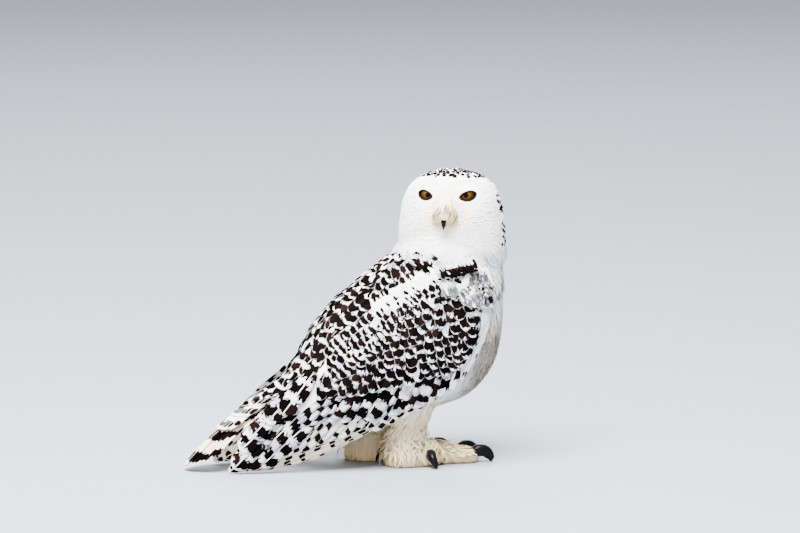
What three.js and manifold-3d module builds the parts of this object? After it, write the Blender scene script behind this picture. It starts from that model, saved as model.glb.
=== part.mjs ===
// A snowy owl standing at rest on level ground, its right wing hanging loose and its head turned back over the
// right shoulder. Life size, in millimetres. X points the way the body faces, Y to its left and Z up; the ground
// is Z = 0. The body is one smooth form parted by thin cuts, and the wings and tail are vanes laid in tiers.
import * as THREE from "three";
import { mergeVertices } from "three/addons/utils/BufferGeometryUtils.js";
import Module from "manifold-3d";

const wasm = await Module();
wasm.setup();

// ---- driving dimensions -------------------------------------------------------------------------------------

const GAP = 0.3; // clearance between neighbouring pieces
const GROUND = 0;

// Torso and neck: matching points on the back (d) and the underside (v) in the plane of symmetry, and the half
// width between them, from the rump to the throat.
const TRUNK = [
  { d: [-150, 88], v: [-130, 68], half: 10 },
  { d: [-126, 106], v: [-96, 78], half: 27 },
  { d: [-100, 122], v: [-62, 66], half: 42 },
  { d: [-75, 146], v: [-12, 50], half: 60 },
  { d: [-54, 180], v: [40, 48], half: 74 },
  { d: [-37, 208], v: [88, 60], half: 85 },
  { d: [-12, 236], v: [132, 80], half: 92 },
  { d: [22, 262], v: [178, 96], half: 94 },
  { d: [48, 284], v: [212, 132], half: 92 },
  { d: [64, 296], v: [226, 178], half: 88 },
  { d: [76, 309], v: [229, 224], half: 83 },
  { d: [84, 322], v: [228, 264], half: 77 },
  { d: [91, 336], v: [222, 296], half: 67 },
  { d: [102, 346], v: [205, 322], half: 50 },
];
const TRUNK_SQUARENESS = 2.3; // exponent of the section's superellipse

// Head: rings by height, with the half width and the reach to the face and to the nape.
const HEAD = { x: 157, y: -3, turn: -114, squareness: 2.25 };
const HEAD_RINGS = [
  { z: 288, side: 74, face: 60, nape: 70 },
  { z: 306, side: 77, face: 62, nape: 72 },
  { z: 324, side: 76.5, face: 62, nape: 71 },
  { z: 340, side: 75.5, face: 61, nape: 70 },
  { z: 360, side: 73, face: 59, nape: 69.5 },
  { z: 372, side: 71, face: 56.5, nape: 68 },
  { z: 389, side: 64.5, face: 51, nape: 63 },
  { z: 402, side: 54, face: 42.5, nape: 54 },
  { z: 411.5, side: 41, face: 32, nape: 42 },
  { z: 418, side: 24, face: 19, nape: 26 },
  { z: 421.5, side: 6, face: 5, nape: 7 },
];
const EYE = { radius: 11.5, ahead: 34.5, aside: 29.5, z: 388.5, splay: 27 };
const LID = { halfLong: 11, halfHigh: 6, slant: 14, thick: 1.5 };
const MOUND = { z: 362, rise: 15, halfWide: 13.5, halfHigh: 15 };
const BILL = { baseZ: 367, tipZ: 342, ahead: 58, reach: 19, wide: 5.2, deep: 6.5 };

// Cuts between torso, neck and head, as a point and a normal in the plane of symmetry.
const NECK_BOTTOM = { at: [60, 298], normal: [0.441, 0.898] };
const NECK_TOP = { at: [150, 318], normal: [0, 1] };

// Legs: the middle of each foot pad, the top of the feathered leg and its radii.
const LEGS = {
  right: { side: -1, pad: [122, -34], knee: [88, -40, 104] },
  left: { side: 1, pad: [80, 34], knee: [52, 40, 92] },
};
const SHANK = { back: 40, halfLong: 27, halfWide: 23, ankleHeight: 42 };
// Toes: bearing from straight ahead (outward positive), reach from the pad to the root of the claw, radius.
const TOES = [
  { name: "hallux", bearing: -138, reach: 34, radius: 10.5, claw: 24 },
  { name: "inner", bearing: -20, reach: 52, radius: 12.5, claw: 29 },
  { name: "middle", bearing: 4, reach: 64, radius: 12.5, claw: 30 },
  { name: "outer", bearing: 112, reach: 30, radius: 12.5, claw: 28 },
];

// Folded wing, laid out on its own axis: u runs 0 to 1 from the wrist to the tip, t is the distance above it.
const WING = { from: [150, 200], to: [-168, 12], onFlank: 1.5, blend: 7 };
const WING_HALF_WIDTH = [
  [-0.16, 66],
  [-0.06, 82],
  [0, 90],
  [0.08, 96],
  [0.16, 99],
  [0.35, 94],
  [0.5, 87],
  [0.7, 75],
  [0.85, 62],
  [1, 50],
  [1.08, 45],
];
const WING_TOP = [
  [-0.15, 8],
  [-0.1, 44],
  [-0.05, 74],
  [0.04, 80],
  [0.2, 79],
  [0.42, 76],
  [0.5, 69],
  [0.6, 56],
  [0.7, 40],
  [0.8, 27],
  [0.92, 16],
  [1.04, 3],
];
// The flesh of the wing under its feathers: its lower edge, and how thick it is at a height above the axis.
const ARM_BOTTOM = [
  [-0.15, 2],
  [-0.12, -4],
  [-0.04, -27],
  [0.06, -42],
  [0.16, -58],
  [0.28, -62],
  [0.36, -48],
  [0.46, -26],
  [0.6, -8],
  [0.8, 12],
];
const ARM_THICK = [
  [-60, 1.2],
  [-25, 1.6],
  [0, 2.8],
  [30, 4.6],
  [62, 7],
  [85, 8],
];

// Rows of feathers on the wing, in its side view: where the tips lie, from the front to the back, how steeply
// the feathers hang, how long and wide they are, and how far they stand off from root to tip. Where a row's
// feathers lie almost end to end they are stacked by a height each, the front ones lowest.
const FEATHER = { thick: 0.7, clear: 0.65, camber: 0.3, steepest: 0.16 };
const WING_ROWS = [
  {
    count: 5, tips: [[138, 221], [100, 211], [55, 201], [18, 193]], lean: [80, 62],
    long: [36, 44], wide: [34, 36], rise: [5.6, 10], over: "rear",
  },
  {
    count: 7, tips: [[158, 195], [110, 186], [50, 177], [-12, 166]], lean: [80, 62],
    long: [40, 50], wide: [33, 35], rise: [4.4, 8.4], over: "rear",
  },
  {
    count: 7, tips: [[160, 170], [110, 161], [35, 148], [-40, 134]], lean: [84, 60],
    long: [50, 60], wide: [38, 41], rise: [3.6, 7], over: "rear",
  },
  {
    count: 7, tips: [[147, 146], [96, 134], [20, 119], [-58, 107]], lean: [88, 58],
    long: [56, 70], wide: [40, 42], rise: [2.8, 5.8], over: "rear",
  },
  {
    count: 3, tips: [[-136, 40], [-118, 60], [-100, 78]], lean: [48, 52],
    long: [104, 72], wide: [30, 26], rise: [2.4, 4.6], stack: 1.15,
  },
  {
    count: 9, tips: [[126, 114], [84, 92], [40, 74], [-6, 58], [-48, 46], [-86, 32], [-120, 19], [-150, 9], [-182, 5]],
    lean: [84, 45], long: [76, 160], wide: [42, 31], rise: [1.5, 2.1], over: "front",
  },
  {
    count: 5, tips: [[138, 131], [110, 105], [82, 88], [52, 73], [20, 60]], lean: [80, 48],
    long: [46, 80], wide: [25, 24], rise: [-0.6, -0.2], over: "rear",
  },
];
// Primaries: the long feathers of the folded hand, from the outermost, each laid over the one before.
const PRIMARIES = {
  roots: [[98, 107], [106, 128]],
  tips: [[-82, 18], [-109, 11], [-138, 6], [-156, 5], [-168, 7], [-176, 12]],
  wide: 26, low: -6.4, pitch: 1.08,
};

const TUCK = { drop: 15, from: 50, over: 90 }; // how the left wing is drawn down behind this place

// Tail: from the rump to the tip in the plane of symmetry, arched upward, and the feathers it is made of.
const TAIL = { from: [-90, 114], to: [-236, 7], arch: 9, halfRoot: 15, halfTip: 40, sag: 9 };
const RECTRICES = { pairs: 6, wide: 25, pitch: 1.1, thick: 0.8, rounded: 0.012 };

// ---- small mathematics --------------------------------------------------------------------------------------

const radians = THREE.MathUtils.degToRad;
const mix = (a, b, k) => a + (b - a) * k;
const clamp01 = (x) => Math.min(1, Math.max(0, x));
const smooth = (x) => clamp01(x) ** 2 * (3 - 2 * clamp01(x));
const bell = (x, width) => Math.exp(-((x / width) ** 2));
const signedPower = (x, p) => Math.sign(x) * Math.abs(x) ** p;

// A smooth curve (Catmull-Rom tangents) through [at, value] knots, held level past both ends.
function through(knots) {
  const slope = (i) => {
    const a = knots[Math.max(0, i - 1)];
    const b = knots[Math.min(knots.length - 1, i + 1)];
    return (b[1] - a[1]) / (b[0] - a[0]);
  };
  return (x) => {
    const last = knots.length - 1;
    if (x <= knots[0][0]) return knots[0][1];
    if (x >= knots[last][0]) return knots[last][1];
    const i = knots.findIndex((k, n) => n < last && x < knots[n + 1][0]);
    const span = knots[i + 1][0] - knots[i][0];
    const k = (x - knots[i][0]) / span;
    const [m0, m1] = [slope(i) * span, slope(i + 1) * span];
    return (
      (2 * k ** 3 - 3 * k ** 2 + 1) * knots[i][1] +
      (k ** 3 - 2 * k ** 2 + k) * m0 +
      (3 * k ** 2 - 2 * k ** 3) * knots[i + 1][1] +
      (k ** 3 - k ** 2) * m1
    );
  };
}

// ---- solids -------------------------------------------------------------------------------------------------

// A solid from rings of points: each ring is joined to the next and both ends are closed on their middle points.
function skinned(rings, startTip, endTip) {
  const around = rings[0].length;
  const middle = (ring) => ring.reduce((sum, p) => sum.add(p), new THREE.Vector3()).divideScalar(around);
  const points = [...rings.flat(), startTip ?? middle(rings[0]), endTip ?? middle(rings.at(-1))];
  const faces = [];
  for (let r = 0; r + 1 < rings.length; r++)
    for (let i = 0; i < around; i++) {
      const [a, b] = [r * around + i, r * around + ((i + 1) % around)];
      faces.push([a, b, b + around], [a, b + around, a + around]);
    }
  const top = (rings.length - 1) * around;
  for (let i = 0; i < around; i++) {
    const next = (i + 1) % around;
    faces.push([next, i, points.length - 2], [top + i, top + next, points.length - 1]);
  }
  return solidFrom(points, faces);
}

function solidFrom(points, faces) {
  const made = (order) =>
    new wasm.Manifold(
      new wasm.Mesh({
        numProp: 3,
        vertProperties: new Float32Array(points.flatMap((p) => [p.x, p.y, p.z])),
        triVerts: new Uint32Array(faces.flatMap(order)),
      }),
    );
  const solid = made((f) => f);
  return solid.volume() > 0 ? solid : made(([a, b, c]) => [a, c, b]);
}

// A closed three.js geometry as a solid.
function solidOf(geometry) {
  const bare = geometry.clone();
  bare.deleteAttribute("normal");
  bare.deleteAttribute("uv");
  const merged = mergeVertices(bare, 1e-4);
  const place = merged.attributes.position;
  const points = [];
  for (let i = 0; i < place.count; i++) points.push(new THREE.Vector3().fromBufferAttribute(place, i));
  const faces = [];
  for (let i = 0; i < merged.index.count; i += 3) faces.push([...merged.index.array.slice(i, i + 3)]);
  return solidFrom(points, faces);
}

const largest = (solid) => solid.decompose().reduce((a, b) => (a.volume() > b.volume() ? a : b));
const joined = (solids) => solids.reduce((all, one) => all.add(one));
const above = (solid, height) => solid.trimByPlane([0, 0, 1], height);

// Keeps the side of a plane that its normal points to, or the other side.
function beside(solid, cut, keepFront) {
  const [nx, nz] = cut.normal;
  const offset = nx * cut.at[0] + nz * cut.at[1];
  return keepFront
    ? solid.trimByPlane([nx, 0, nz], offset + GAP / 2)
    : solid.trimByPlane([-nx, 0, -nz], -offset + GAP / 2);
}

const ball = (centre, radii, turn = 0, around = 14, high = 8) =>
  solidOf(
    new THREE.SphereGeometry(1, around, high)
      .scale(...radii)
      .rotateZ(turn)
      .translate(centre.x, centre.y, centre.z),
  );

// ---- trunk --------------------------------------------------------------------------------------------------

const trunkTracks = {
  dx: through(TRUNK.map((k, i) => [i, k.d[0]])),
  dz: through(TRUNK.map((k, i) => [i, k.d[1]])),
  vx: through(TRUNK.map((k, i) => [i, k.v[0]])),
  vz: through(TRUNK.map((k, i) => [i, k.v[1]])),
  half: through(TRUNK.map((k, i) => [i, k.half])),
};

// A point of the trunk: s runs along the stations and the angle goes round from the back over the left side.
function trunkPoint(s, angle, grow) {
  const t = trunkTracks;
  const back = new THREE.Vector3(t.dx(s), 0, t.dz(s));
  const under = new THREE.Vector3(t.vx(s), 0, t.vz(s));
  const up = back.clone().sub(under);
  const deep = up.length() / 2;
  const power = 2 / TRUNK_SQUARENESS;
  return back
    .add(under)
    .multiplyScalar(0.5)
    .addScaledVector(up.normalize(), (deep + grow) * signedPower(Math.cos(angle), power))
    .add(new THREE.Vector3(0, (t.half(s) + grow) * signedPower(Math.sin(angle), power), 0));
}

// Half the trunk's width at a place in its side view, or 0 outside its outline.
function trunkHalfAt(x, z) {
  const t = trunkTracks;
  const side = (s) => (t.dx(s) - t.vx(s)) * (z - t.vz(s)) - (t.dz(s) - t.vz(s)) * (x - t.vx(s));
  let [low, high] = [0, TRUNK.length - 1];
  if (side(low) * side(high) > 0) return 0;
  const sign = Math.sign(side(high));
  for (let n = 0; n < 24; n++) {
    const middle = (low + high) / 2;
    if (side(middle) * sign > 0) high = middle;
    else low = middle;
  }
  const across = [t.dx(low) - t.vx(low), t.dz(low) - t.vz(low)];
  const from = [x - t.vx(low), z - t.vz(low)];
  const share = (2 * (from[0] * across[0] + from[1] * across[1])) / (across[0] ** 2 + across[1] ** 2) - 1;
  const left = 1 - Math.abs(share) ** TRUNK_SQUARENESS;
  return left > 0 ? t.half(low) * left ** (1 / TRUNK_SQUARENESS) : 0;
}

function trunkSolid(grow) {
  const [rings, around] = [22, 26];
  const list = [];
  for (let r = 0; r < rings; r++) {
    const s = ((TRUNK.length - 1) * r) / (rings - 1);
    list.push(Array.from({ length: around }, (_, i) => trunkPoint(s, (2 * Math.PI * i) / around, grow)));
  }
  return skinned(list);
}

// ---- head ---------------------------------------------------------------------------------------------------

const headTracks = {
  side: through(HEAD_RINGS.map((k) => [k.z, k.side])),
  face: through(HEAD_RINGS.map((k) => [k.z, k.face])),
  nape: through(HEAD_RINGS.map((k) => [k.z, k.nape])),
};
const faceward = new THREE.Vector3(Math.cos(radians(HEAD.turn)), Math.sin(radians(HEAD.turn)), 0);
const leftward = new THREE.Vector3(-faceward.y, faceward.x, 0);
const headPlace = (ahead, aside, z) =>
  new THREE.Vector3(HEAD.x, HEAD.y, z).addScaledVector(faceward, ahead).addScaledVector(leftward, aside);

// Relief of the face: hollows round the eyes, a brow over each, the mound of bristles at the bill, full cheeks.
function faceRelief(aside, z) {
  const hollow = -4.5 * bell(Math.abs(aside) - 25, 16) * bell(z - 384, 17);
  const brow = 2.6 * bell(Math.abs(aside) - 27, 17) * bell(z - 402 + 0.16 * Math.abs(aside), 7);
  const mound = MOUND.rise * bell(aside, MOUND.halfWide) * bell(z - MOUND.z, MOUND.halfHigh);
  const cheek = 2.2 * bell(Math.abs(aside) - 34, 18) * bell(z - 350, 18);
  return hollow + brow + mound + cheek;
}

function headPoint(z, angle, grow) {
  const power = 2 / HEAD.squareness;
  const [c, s] = [Math.cos(angle), Math.sin(angle)];
  const reach = (c > 0 ? headTracks.face(z) : headTracks.nape(z)) + grow;
  const aside = (headTracks.side(z) + grow) * signedPower(s, power);
  const relief = faceRelief(aside, z) * smooth(c * 1.6);
  return headPlace(reach * signedPower(c, power) + relief, aside, z);
}

function headSolid(grow) {
  const around = 34;
  const heights = [288, 306, 322, 334, 344, 352, 360, 368, 376, 384, 392, 399.5, 407, 414.5];
  const rings = heights.map((z) =>
    Array.from({ length: around }, (_, i) => {
      const even = (2 * Math.PI * i) / around;
      return headPoint(z, even - 0.42 * Math.sin(even), grow); // closer steps across the face
    }),
  );
  return skinned(rings, null, headPlace(-2, 0, 421.5 + grow));
}

const eyePlace = (side) => headPlace(EYE.ahead, side * EYE.aside, EYE.z);
const eyeAxis = (side) =>
  faceward.clone().multiplyScalar(Math.cos(radians(EYE.splay))).addScaledVector(leftward, side * Math.sin(radians(EYE.splay)));
// A tapered plug that opens the face in front of each eye.
function eyeOpening(side) {
  const slant = radians(LID.slant);
  const [steps, depths] = [16, [2, 12, 26]];
  const rings = depths.map((depth, n) => {
    const grow = 0.86 + 0.1 * n;
    return Array.from({ length: steps }, (_, i) => {
      const [x, z] = lidOutline((2 * Math.PI * i) / steps, slant);
      return lidPlace(side, x * grow, z * grow, depth);
    });
  });
  return skinned(rings);
}

const eyeball = (side, grow) => ball(eyePlace(side), Array(3).fill(EYE.radius + grow), 0, 12, 9);

const lidAcross = (side) => {
  const axis = eyeAxis(side);
  return new THREE.Vector3(-axis.y, axis.x, 0).multiplyScalar(side); // towards the outer corner
};
const lidPlace = (side, x, z, depth) =>
  eyePlace(side)
    .addScaledVector(eyeAxis(side), depth)
    .addScaledVector(lidAcross(side), x)
    .add(new THREE.Vector3(0, 0, z));

// The almond of the open eye, at an angle round it: across towards its outer corner, and up.
function lidOutline(angle, slant) {
  const x = LID.halfLong * Math.cos(angle);
  const z = LID.halfHigh * Math.sin(angle) * (1 - 0.25 * Math.cos(angle) ** 4);
  return [x * Math.cos(slant) - z * Math.sin(slant), x * Math.sin(slant) + z * Math.cos(slant)];
}

// The rim of both lids: a rounded cord along an almond on the eyeball, its outer corner raised.
function lidRim(side) {
  const axis = eyeAxis(side);
  const across = lidAcross(side);
  const up = new THREE.Vector3(0, 0, 1);
  const [steps, round] = [16, 5];
  const rings = [];
  for (let i = 0; i < steps; i++) {
    const [x, z] = lidOutline((2 * Math.PI * i) / steps, radians(LID.slant));
    const depth = Math.sqrt(Math.max(0, (EYE.radius + 0.6) ** 2 - x * x * 0.62 - z * z));
    const middle = lidPlace(side, x, z, depth);
    const outward = across.clone().multiplyScalar(x).addScaledVector(up, z).normalize();
    rings.push(
      Array.from({ length: round }, (_, k) => {
        const turn = (2 * Math.PI * k) / round;
        return middle
          .clone()
          .addScaledVector(outward, LID.thick * Math.cos(turn) + 0.4)
          .addScaledVector(axis, LID.thick * Math.sin(turn) * 0.8);
      }),
    );
  }
  return ringed(rings);
}

// A closed ring of sections, the last joined to the first.
function ringed(rings) {
  const around = rings[0].length;
  const faces = [];
  for (let r = 0; r < rings.length; r++)
    for (let i = 0; i < around; i++) {
      const [a, b] = [r * around, ((r + 1) % rings.length) * around];
      const next = (i + 1) % around;
      faces.push([a + i, a + next, b + next], [a + i, b + next, b + i]);
    }
  return solidFrom(rings.flat(), faces);
}

// A horn with an oval section carried along a curve, tapering to its point; wide is across, deep is in the curve.
function horn(places, across, wide, deep, taper, around = 10) {
  const path = new THREE.CatmullRomCurve3(places);
  const steps = taper.length;
  const rings = taper.map((share, i) => {
    const k = i / steps;
    const deepward = path.getTangent(k).cross(across).normalize();
    return Array.from({ length: around }, (_, n) => {
      const turn = (2 * Math.PI * n) / around;
      return path
        .getPoint(k)
        .addScaledVector(across, wide * share * Math.cos(turn))
        .addScaledVector(deepward, deep * share * Math.sin(turn));
    });
  });
  return skinned(rings, null, places.at(-1));
}

function billUpper(headGrown) {
  const { baseZ, tipZ, ahead, reach, wide, deep } = BILL;
  const path = [
    headPlace(ahead - 10, 0, baseZ - 2),
    headPlace(ahead + reach * 0.45, 0, baseZ - 4),
    headPlace(ahead + reach * 0.92, 0, baseZ - 13),
    headPlace(ahead + reach * 0.9, 0, tipZ),
  ];
  const nostril = (side) => ball(headPlace(ahead + 14, side * 6.2, baseZ - 9), [1.6, 1.6, 1.6], 0, 8, 6);
  const solid = horn(path, leftward, wide, deep, [1, 0.98, 0.92, 0.82, 0.68, 0.5, 0.3]);
  return largest(solid.subtract(headGrown).subtract(nostril(1)).subtract(nostril(-1)));
}

function billLower(headGrown, upperGrown) {
  const { tipZ, ahead, reach, wide } = BILL;
  const path = [headPlace(ahead - 8, 0, tipZ + 8), headPlace(ahead + 4, 0, tipZ + 7), headPlace(ahead + reach * 0.62, 0, tipZ + 4)];
  return largest(horn(path, leftward, wide * 0.72, 4.2, [1, 0.95, 0.85, 0.65]).subtract(headGrown).subtract(upperGrown));
}

// ---- feathers -----------------------------------------------------------------------------------------------

// One vane, closed and of even thickness. It runs from root to tip on a surface that place(a, b, height) gives,
// with a raised shaft, rising from root to tip and sloping across so that its neighbour tucks under it.
function vane(place, root, tip, { wide, rise, slope, camber, thick, stations }) {
  const run = [tip[0] - root[0], tip[1] - root[1]];
  const long = Math.hypot(...run);
  const across = [-run[1] / long, run[0] / long];
  const grid = stations.map(([k, share]) =>
    [-1, 0, 1].map((c) => {
      const off = (c * wide * share) / 2;
      const height = mix(rise[0], rise[1], k) + slope * off + camber * (1 - c * c) * share;
      const at = [root[0] + run[0] * k + across[0] * off, root[1] + run[1] * k + across[1] * off];
      return [place(...at, height), place(...at, height - thick)];
    }),
  );
  const faces = [];
  const index = (n, c, under) => (n * 3 + c) * 2 + under;
  const quad = (a, b, c, d) => faces.push([a, b, c], [a, c, d]);
  for (let n = 0; n + 1 < grid.length; n++)
    for (const under of [0, 1])
      for (const c of [0, 1]) {
        const corners = [index(n, c, under), index(n, c + 1, under), index(n + 1, c + 1, under), index(n + 1, c, under)];
        if (c === 1) corners.push(corners.shift()); // the crease between triangles mirrors at the shaft
        quad(...(under ? corners.toReversed() : corners));
      }
  for (let n = 0; n + 1 < grid.length; n++) {
    quad(index(n, 0, 0), index(n + 1, 0, 0), index(n + 1, 0, 1), index(n, 0, 1));
    quad(index(n, 2, 0), index(n, 2, 1), index(n + 1, 2, 1), index(n + 1, 2, 0));
  }
  for (const c of [0, 1]) {
    const last = grid.length - 1;
    quad(index(0, c, 0), index(0, c, 1), index(0, c + 1, 1), index(0, c + 1, 0));
    quad(index(last, c, 0), index(last, c + 1, 0), index(last, c + 1, 1), index(last, c, 1));
  }
  return solidFrom(grid.flat(2), faces);
}
const SHORT = [[0, 0.8], [0.68, 1], [1, 0.42]];
const LONG = [[0, 0.6], [0.32, 0.9], [0.66, 1], [0.9, 0.8], [1, 0.32]];
const STRAIGHT = [[0, 0.6], [0.45, 0.92], [0.86, 0.9], [1, 0.34]];
const LONGEST = [[0, 0.6], [0.22, 0.84], [0.42, 0.96], [0.6, 1], [0.78, 0.92], [0.92, 0.66], [1, 0.24]];

// ---- wings --------------------------------------------------------------------------------------------------

const wingAlong = new THREE.Vector2(WING.to[0] - WING.from[0], WING.to[1] - WING.from[1]);
const wingLength = wingAlong.length();
wingAlong.normalize();
const wingUpward = new THREE.Vector2(wingAlong.y, -wingAlong.x);
const wingHalf = through(WING_HALF_WIDTH);
const wingTop = through(WING_TOP);
const armBottom = through(ARM_BOTTOM);
const armThick = through(ARM_THICK);

const wingFlat = (u, t) => [
  WING.from[0] + wingAlong.x * wingLength * u + wingUpward.x * t,
  WING.from[1] + wingAlong.y * wingLength * u + wingUpward.y * t,
];

// How far from the plane of symmetry the wing's lowest layer lies at a place in its side view: a vault of its
// own that gives way to the flank wherever the flank stands further out.
function wingBase(x, z) {
  const from = new THREE.Vector2(x - WING.from[0], z - WING.from[1]);
  const [u, t] = [from.dot(wingAlong) / wingLength, from.dot(wingUpward)];
  const own = wingHalf(u) - (t > 0 ? 0.0047 : 0.0022) * t * t;
  const flank = trunkHalfAt(x, z) + WING.onFlank;
  return Math.max(own, flank) + (WING.blend / 2) * Math.exp(-Math.abs(own - flank) / (2 * WING.blend));
}

// The point of the right wing over a place in its side view, standing off square to the layer by a height.
function wingPlace(x, z, height) {
  const reach = 10;
  const slopeX = (wingBase(x + reach, z) - wingBase(x - reach, z)) / (2 * reach);
  const slopeZ = (wingBase(x, z + reach) - wingBase(x, z - reach)) / (2 * reach);
  const square = new THREE.Vector3(-slopeX, -1, -slopeZ).normalize();
  return new THREE.Vector3(x, -wingBase(x, z), z).addScaledVector(square, height);
}

// The arm and hand under the feathers: sections from the lower to the upper edge, carried along the wing.
function armSolid() {
  const stations = [-0.14, -0.1, -0.04, 0.04, 0.12, 0.2, 0.28, 0.36, 0.46, 0.57, 0.68, 0.78];
  const across = [0, 0.3, 0.55, 0.8, 1];
  const rings = stations.map((u) => {
    const line = across.map((k) => mix(armBottom(u), wingTop(u) - 4, k));
    const hand = (t) => -1.2 - 6.2 * smooth((-t - 15) / 25) * smooth((0.5 - u) / 0.2);
    return [
      ...line.map((t) => wingPlace(...wingFlat(u, t), armThick(t))),
      ...line.toReversed().map((t) => wingPlace(...wingFlat(u, t), hand(t))),
    ];
  });
  return skinned(rings);
}

function rowOfFeathers({ count, tips, lean, long, wide, rise, stack, over }) {
  const tipX = through(tips.map((p, i) => [i / (tips.length - 1), p[0]]));
  const tipZ = through(tips.map((p, i) => [i / (tips.length - 1), p[1]]));
  return Array.from({ length: count }, (_, i) => {
    const k = i / (count - 1);
    const angle = radians(mix(...lean, k));
    const tip = [tipX(k), tipZ(k)];
    const root = [tip[0] + mix(...long, k) * Math.cos(angle), tip[1] + mix(...long, k) * Math.sin(angle)];
    const beside = k < 0.5 ? k + 1 / (count - 1) : k - 1 / (count - 1);
    const step = [tipX(beside) - tip[0], tipZ(beside) - tip[1]];
    const spacing = Math.abs(step[0] * Math.sin(angle) - step[1] * Math.cos(angle));
    const behind = Math.abs(step[0] * Math.cos(angle) + step[1] * Math.sin(angle));
    const drop = (behind * (rise[1] - rise[0])) / mix(...long, k); // between neighbours, along the feather
    const under = FEATHER.thick + FEATHER.clear + (over === "front" ? drop : -drop);
    const slope = stack ? 0 : Math.min(FEATHER.steepest, Math.max(0.01, under / spacing));
    const shape = { ...FEATHER, slope: over === "front" ? slope : -slope, wide: mix(...wide, k) };
    const stations = mix(...long, k) > 75 ? LONG : SHORT;
    return vane(wingPlace, root, tip, { ...shape, rise: rise.map((h) => h + (stack ?? 0) * i), stations });
  });
}

function primaryFeathers() {
  const { roots, tips, wide, low, pitch } = PRIMARIES;
  return tips.map((tip, i) => {
    const k = i / (tips.length - 1);
    const root = [mix(roots[0][0], roots[1][0], k), mix(roots[0][1], roots[1][1], k)];
    const height = low + pitch * i;
    return vane(wingPlace, root, tip, { ...FEATHER, slope: 0, camber: 0, wide, rise: [height, height], stations: LONGEST });
  });
}

function rightWing() {
  return joined([armSolid(), ...WING_ROWS.flatMap(rowOfFeathers), ...primaryFeathers()]);
}

// The left wing mirrors the right one and is held closer: its upper back edge is drawn down along the rump.
function leftWing(right) {
  return right.mirror([0, 1, 0]).warp((v) => {
    v[2] -= TUCK.drop * smooth((TUCK.from - v[0]) / TUCK.over) * smooth((v[2] - 20) / 120);
  });
}

// ---- tail ---------------------------------------------------------------------------------------------------

const tailAlong = new THREE.Vector3(TAIL.to[0] - TAIL.from[0], 0, TAIL.to[1] - TAIL.from[1]);
const tailLength = tailAlong.length();
tailAlong.normalize();
const tailUpward = new THREE.Vector3(tailAlong.z, 0, -tailAlong.x);

// A point of the tail at a distance along it and to its left, standing off upward by a height.
function tailPlace(along, aside, height) {
  const k = along / tailLength;
  const bend = TAIL.arch * 4 * k * (1 - k) - TAIL.sag * (aside / TAIL.halfTip) ** 2;
  return new THREE.Vector3(TAIL.from[0], aside, TAIL.from[1])
    .addScaledVector(tailAlong, along)
    .addScaledVector(tailUpward, height + bend);
}

function tailSolid(trunkGrown) {
  const { pairs, wide, pitch, thick, rounded } = RECTRICES;
  const across = [-1, -0.5, 0, 0.5, 1];
  const root = skinned(
    [-8, 18, 40, 58].map((along, n) => [
      ...across.map((c) => tailPlace(along, c * mix(15, 24, n / 3), mix(3, 1, n / 3))),
      ...across.toReversed().map((c) => tailPlace(along, c * mix(15, 24, n / 3), mix(-9, -6, n / 3))),
    ]),
  );
  const feathers = [];
  for (let i = 0; i < pairs; i++)
    for (const side of [-1, 1]) {
      const share = (i + 0.35) / (pairs - 0.65);
      const [near, far] = [side * TAIL.halfRoot * share, side * (TAIL.halfTip - wide / 2) * share];
      const height = i ? -pitch * i - 0.2 : side > 0 ? 0 : pitch * 0.9;
      const end = tailLength * (1 - rounded * i * i * 0.5);
      const shape = { wide, rise: [height, height], slope: 0, camber: 0, thick, stations: STRAIGHT };
      feathers.push(vane(tailPlace, [0, near], [end, far], shape));
    }
  return largest(above(joined([root, ...feathers]).subtract(trunkGrown), GROUND));
}

// ---- legs and feet ------------------------------------------------------------------------------------------

function legSolid({ pad, knee }, footAndClawGrown, trunkGrown) {
  const { back, halfLong, halfWide, ankleHeight } = SHANK;
  const heights = [0, 6, 16, 42, 58, 74, 106];
  const rings = heights.map((z) => {
    const k = clamp01(z / knee[2]);
    const x = mix(pad[0] - back, knee[0], k);
    const y = mix(pad[1], knee[1], k);
    const swell = z < 16 ? mix(0.94, 1, z / 16) : 1 + 0.45 * smooth((z - ankleHeight) / 60);
    return Array.from({ length: 16 }, (_, i) => {
      const turn = (2 * Math.PI * i) / 16;
      return new THREE.Vector3(x + halfLong * swell * Math.cos(turn), y + halfWide * swell * Math.sin(turn), z);
    });
  });
  return largest(skinned(rings).subtract(footAndClawGrown).subtract(trunkGrown));
}

const toeBearing = (leg, toe) => radians(toe.bearing) * leg.side;
function toeEnd(leg, toe, reach) {
  const bearing = toeBearing(leg, toe);
  return new THREE.Vector3(leg.pad[0] + reach * Math.cos(bearing), leg.pad[1] + reach * Math.sin(bearing), 0);
}

function footSolid(leg, grow) {
  const pad = ball(new THREE.Vector3(leg.pad[0], leg.pad[1], 11), [23 + grow, 19 + grow, 17 + grow], 0, 12, 7);
  const toes = TOES.map((toe) => {
    const bearing = toeBearing(leg, toe);
    const across = new THREE.Vector3(-Math.sin(bearing), Math.cos(bearing), 0);
    const shares = [0.8, 1, 0.96, 1, 0.76];
    const rings = shares.map((share, i) => {
      const middle = toeEnd(leg, toe, (toe.reach * i) / (shares.length - 1) + (i === shares.length - 1 ? grow : 0));
      const height = mix(toe.radius + 2, toe.radius * 0.86, i / (shares.length - 1));
      return Array.from({ length: 8 }, (_, n) => {
        const turn = (2 * Math.PI * (n + 0.5)) / 8;
        return middle
          .clone()
          .addScaledVector(across, (toe.radius * share + grow) * Math.cos(turn))
          .add(new THREE.Vector3(0, 0, height + (toe.radius * share + grow) * Math.sin(turn)));
      });
    });
    return skinned(rings, null, toeEnd(leg, toe, toe.reach + 4 + grow).setZ(toe.radius * 0.8));
  });
  return above(joined([pad, ...toes]), GROUND - grow);
}

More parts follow.
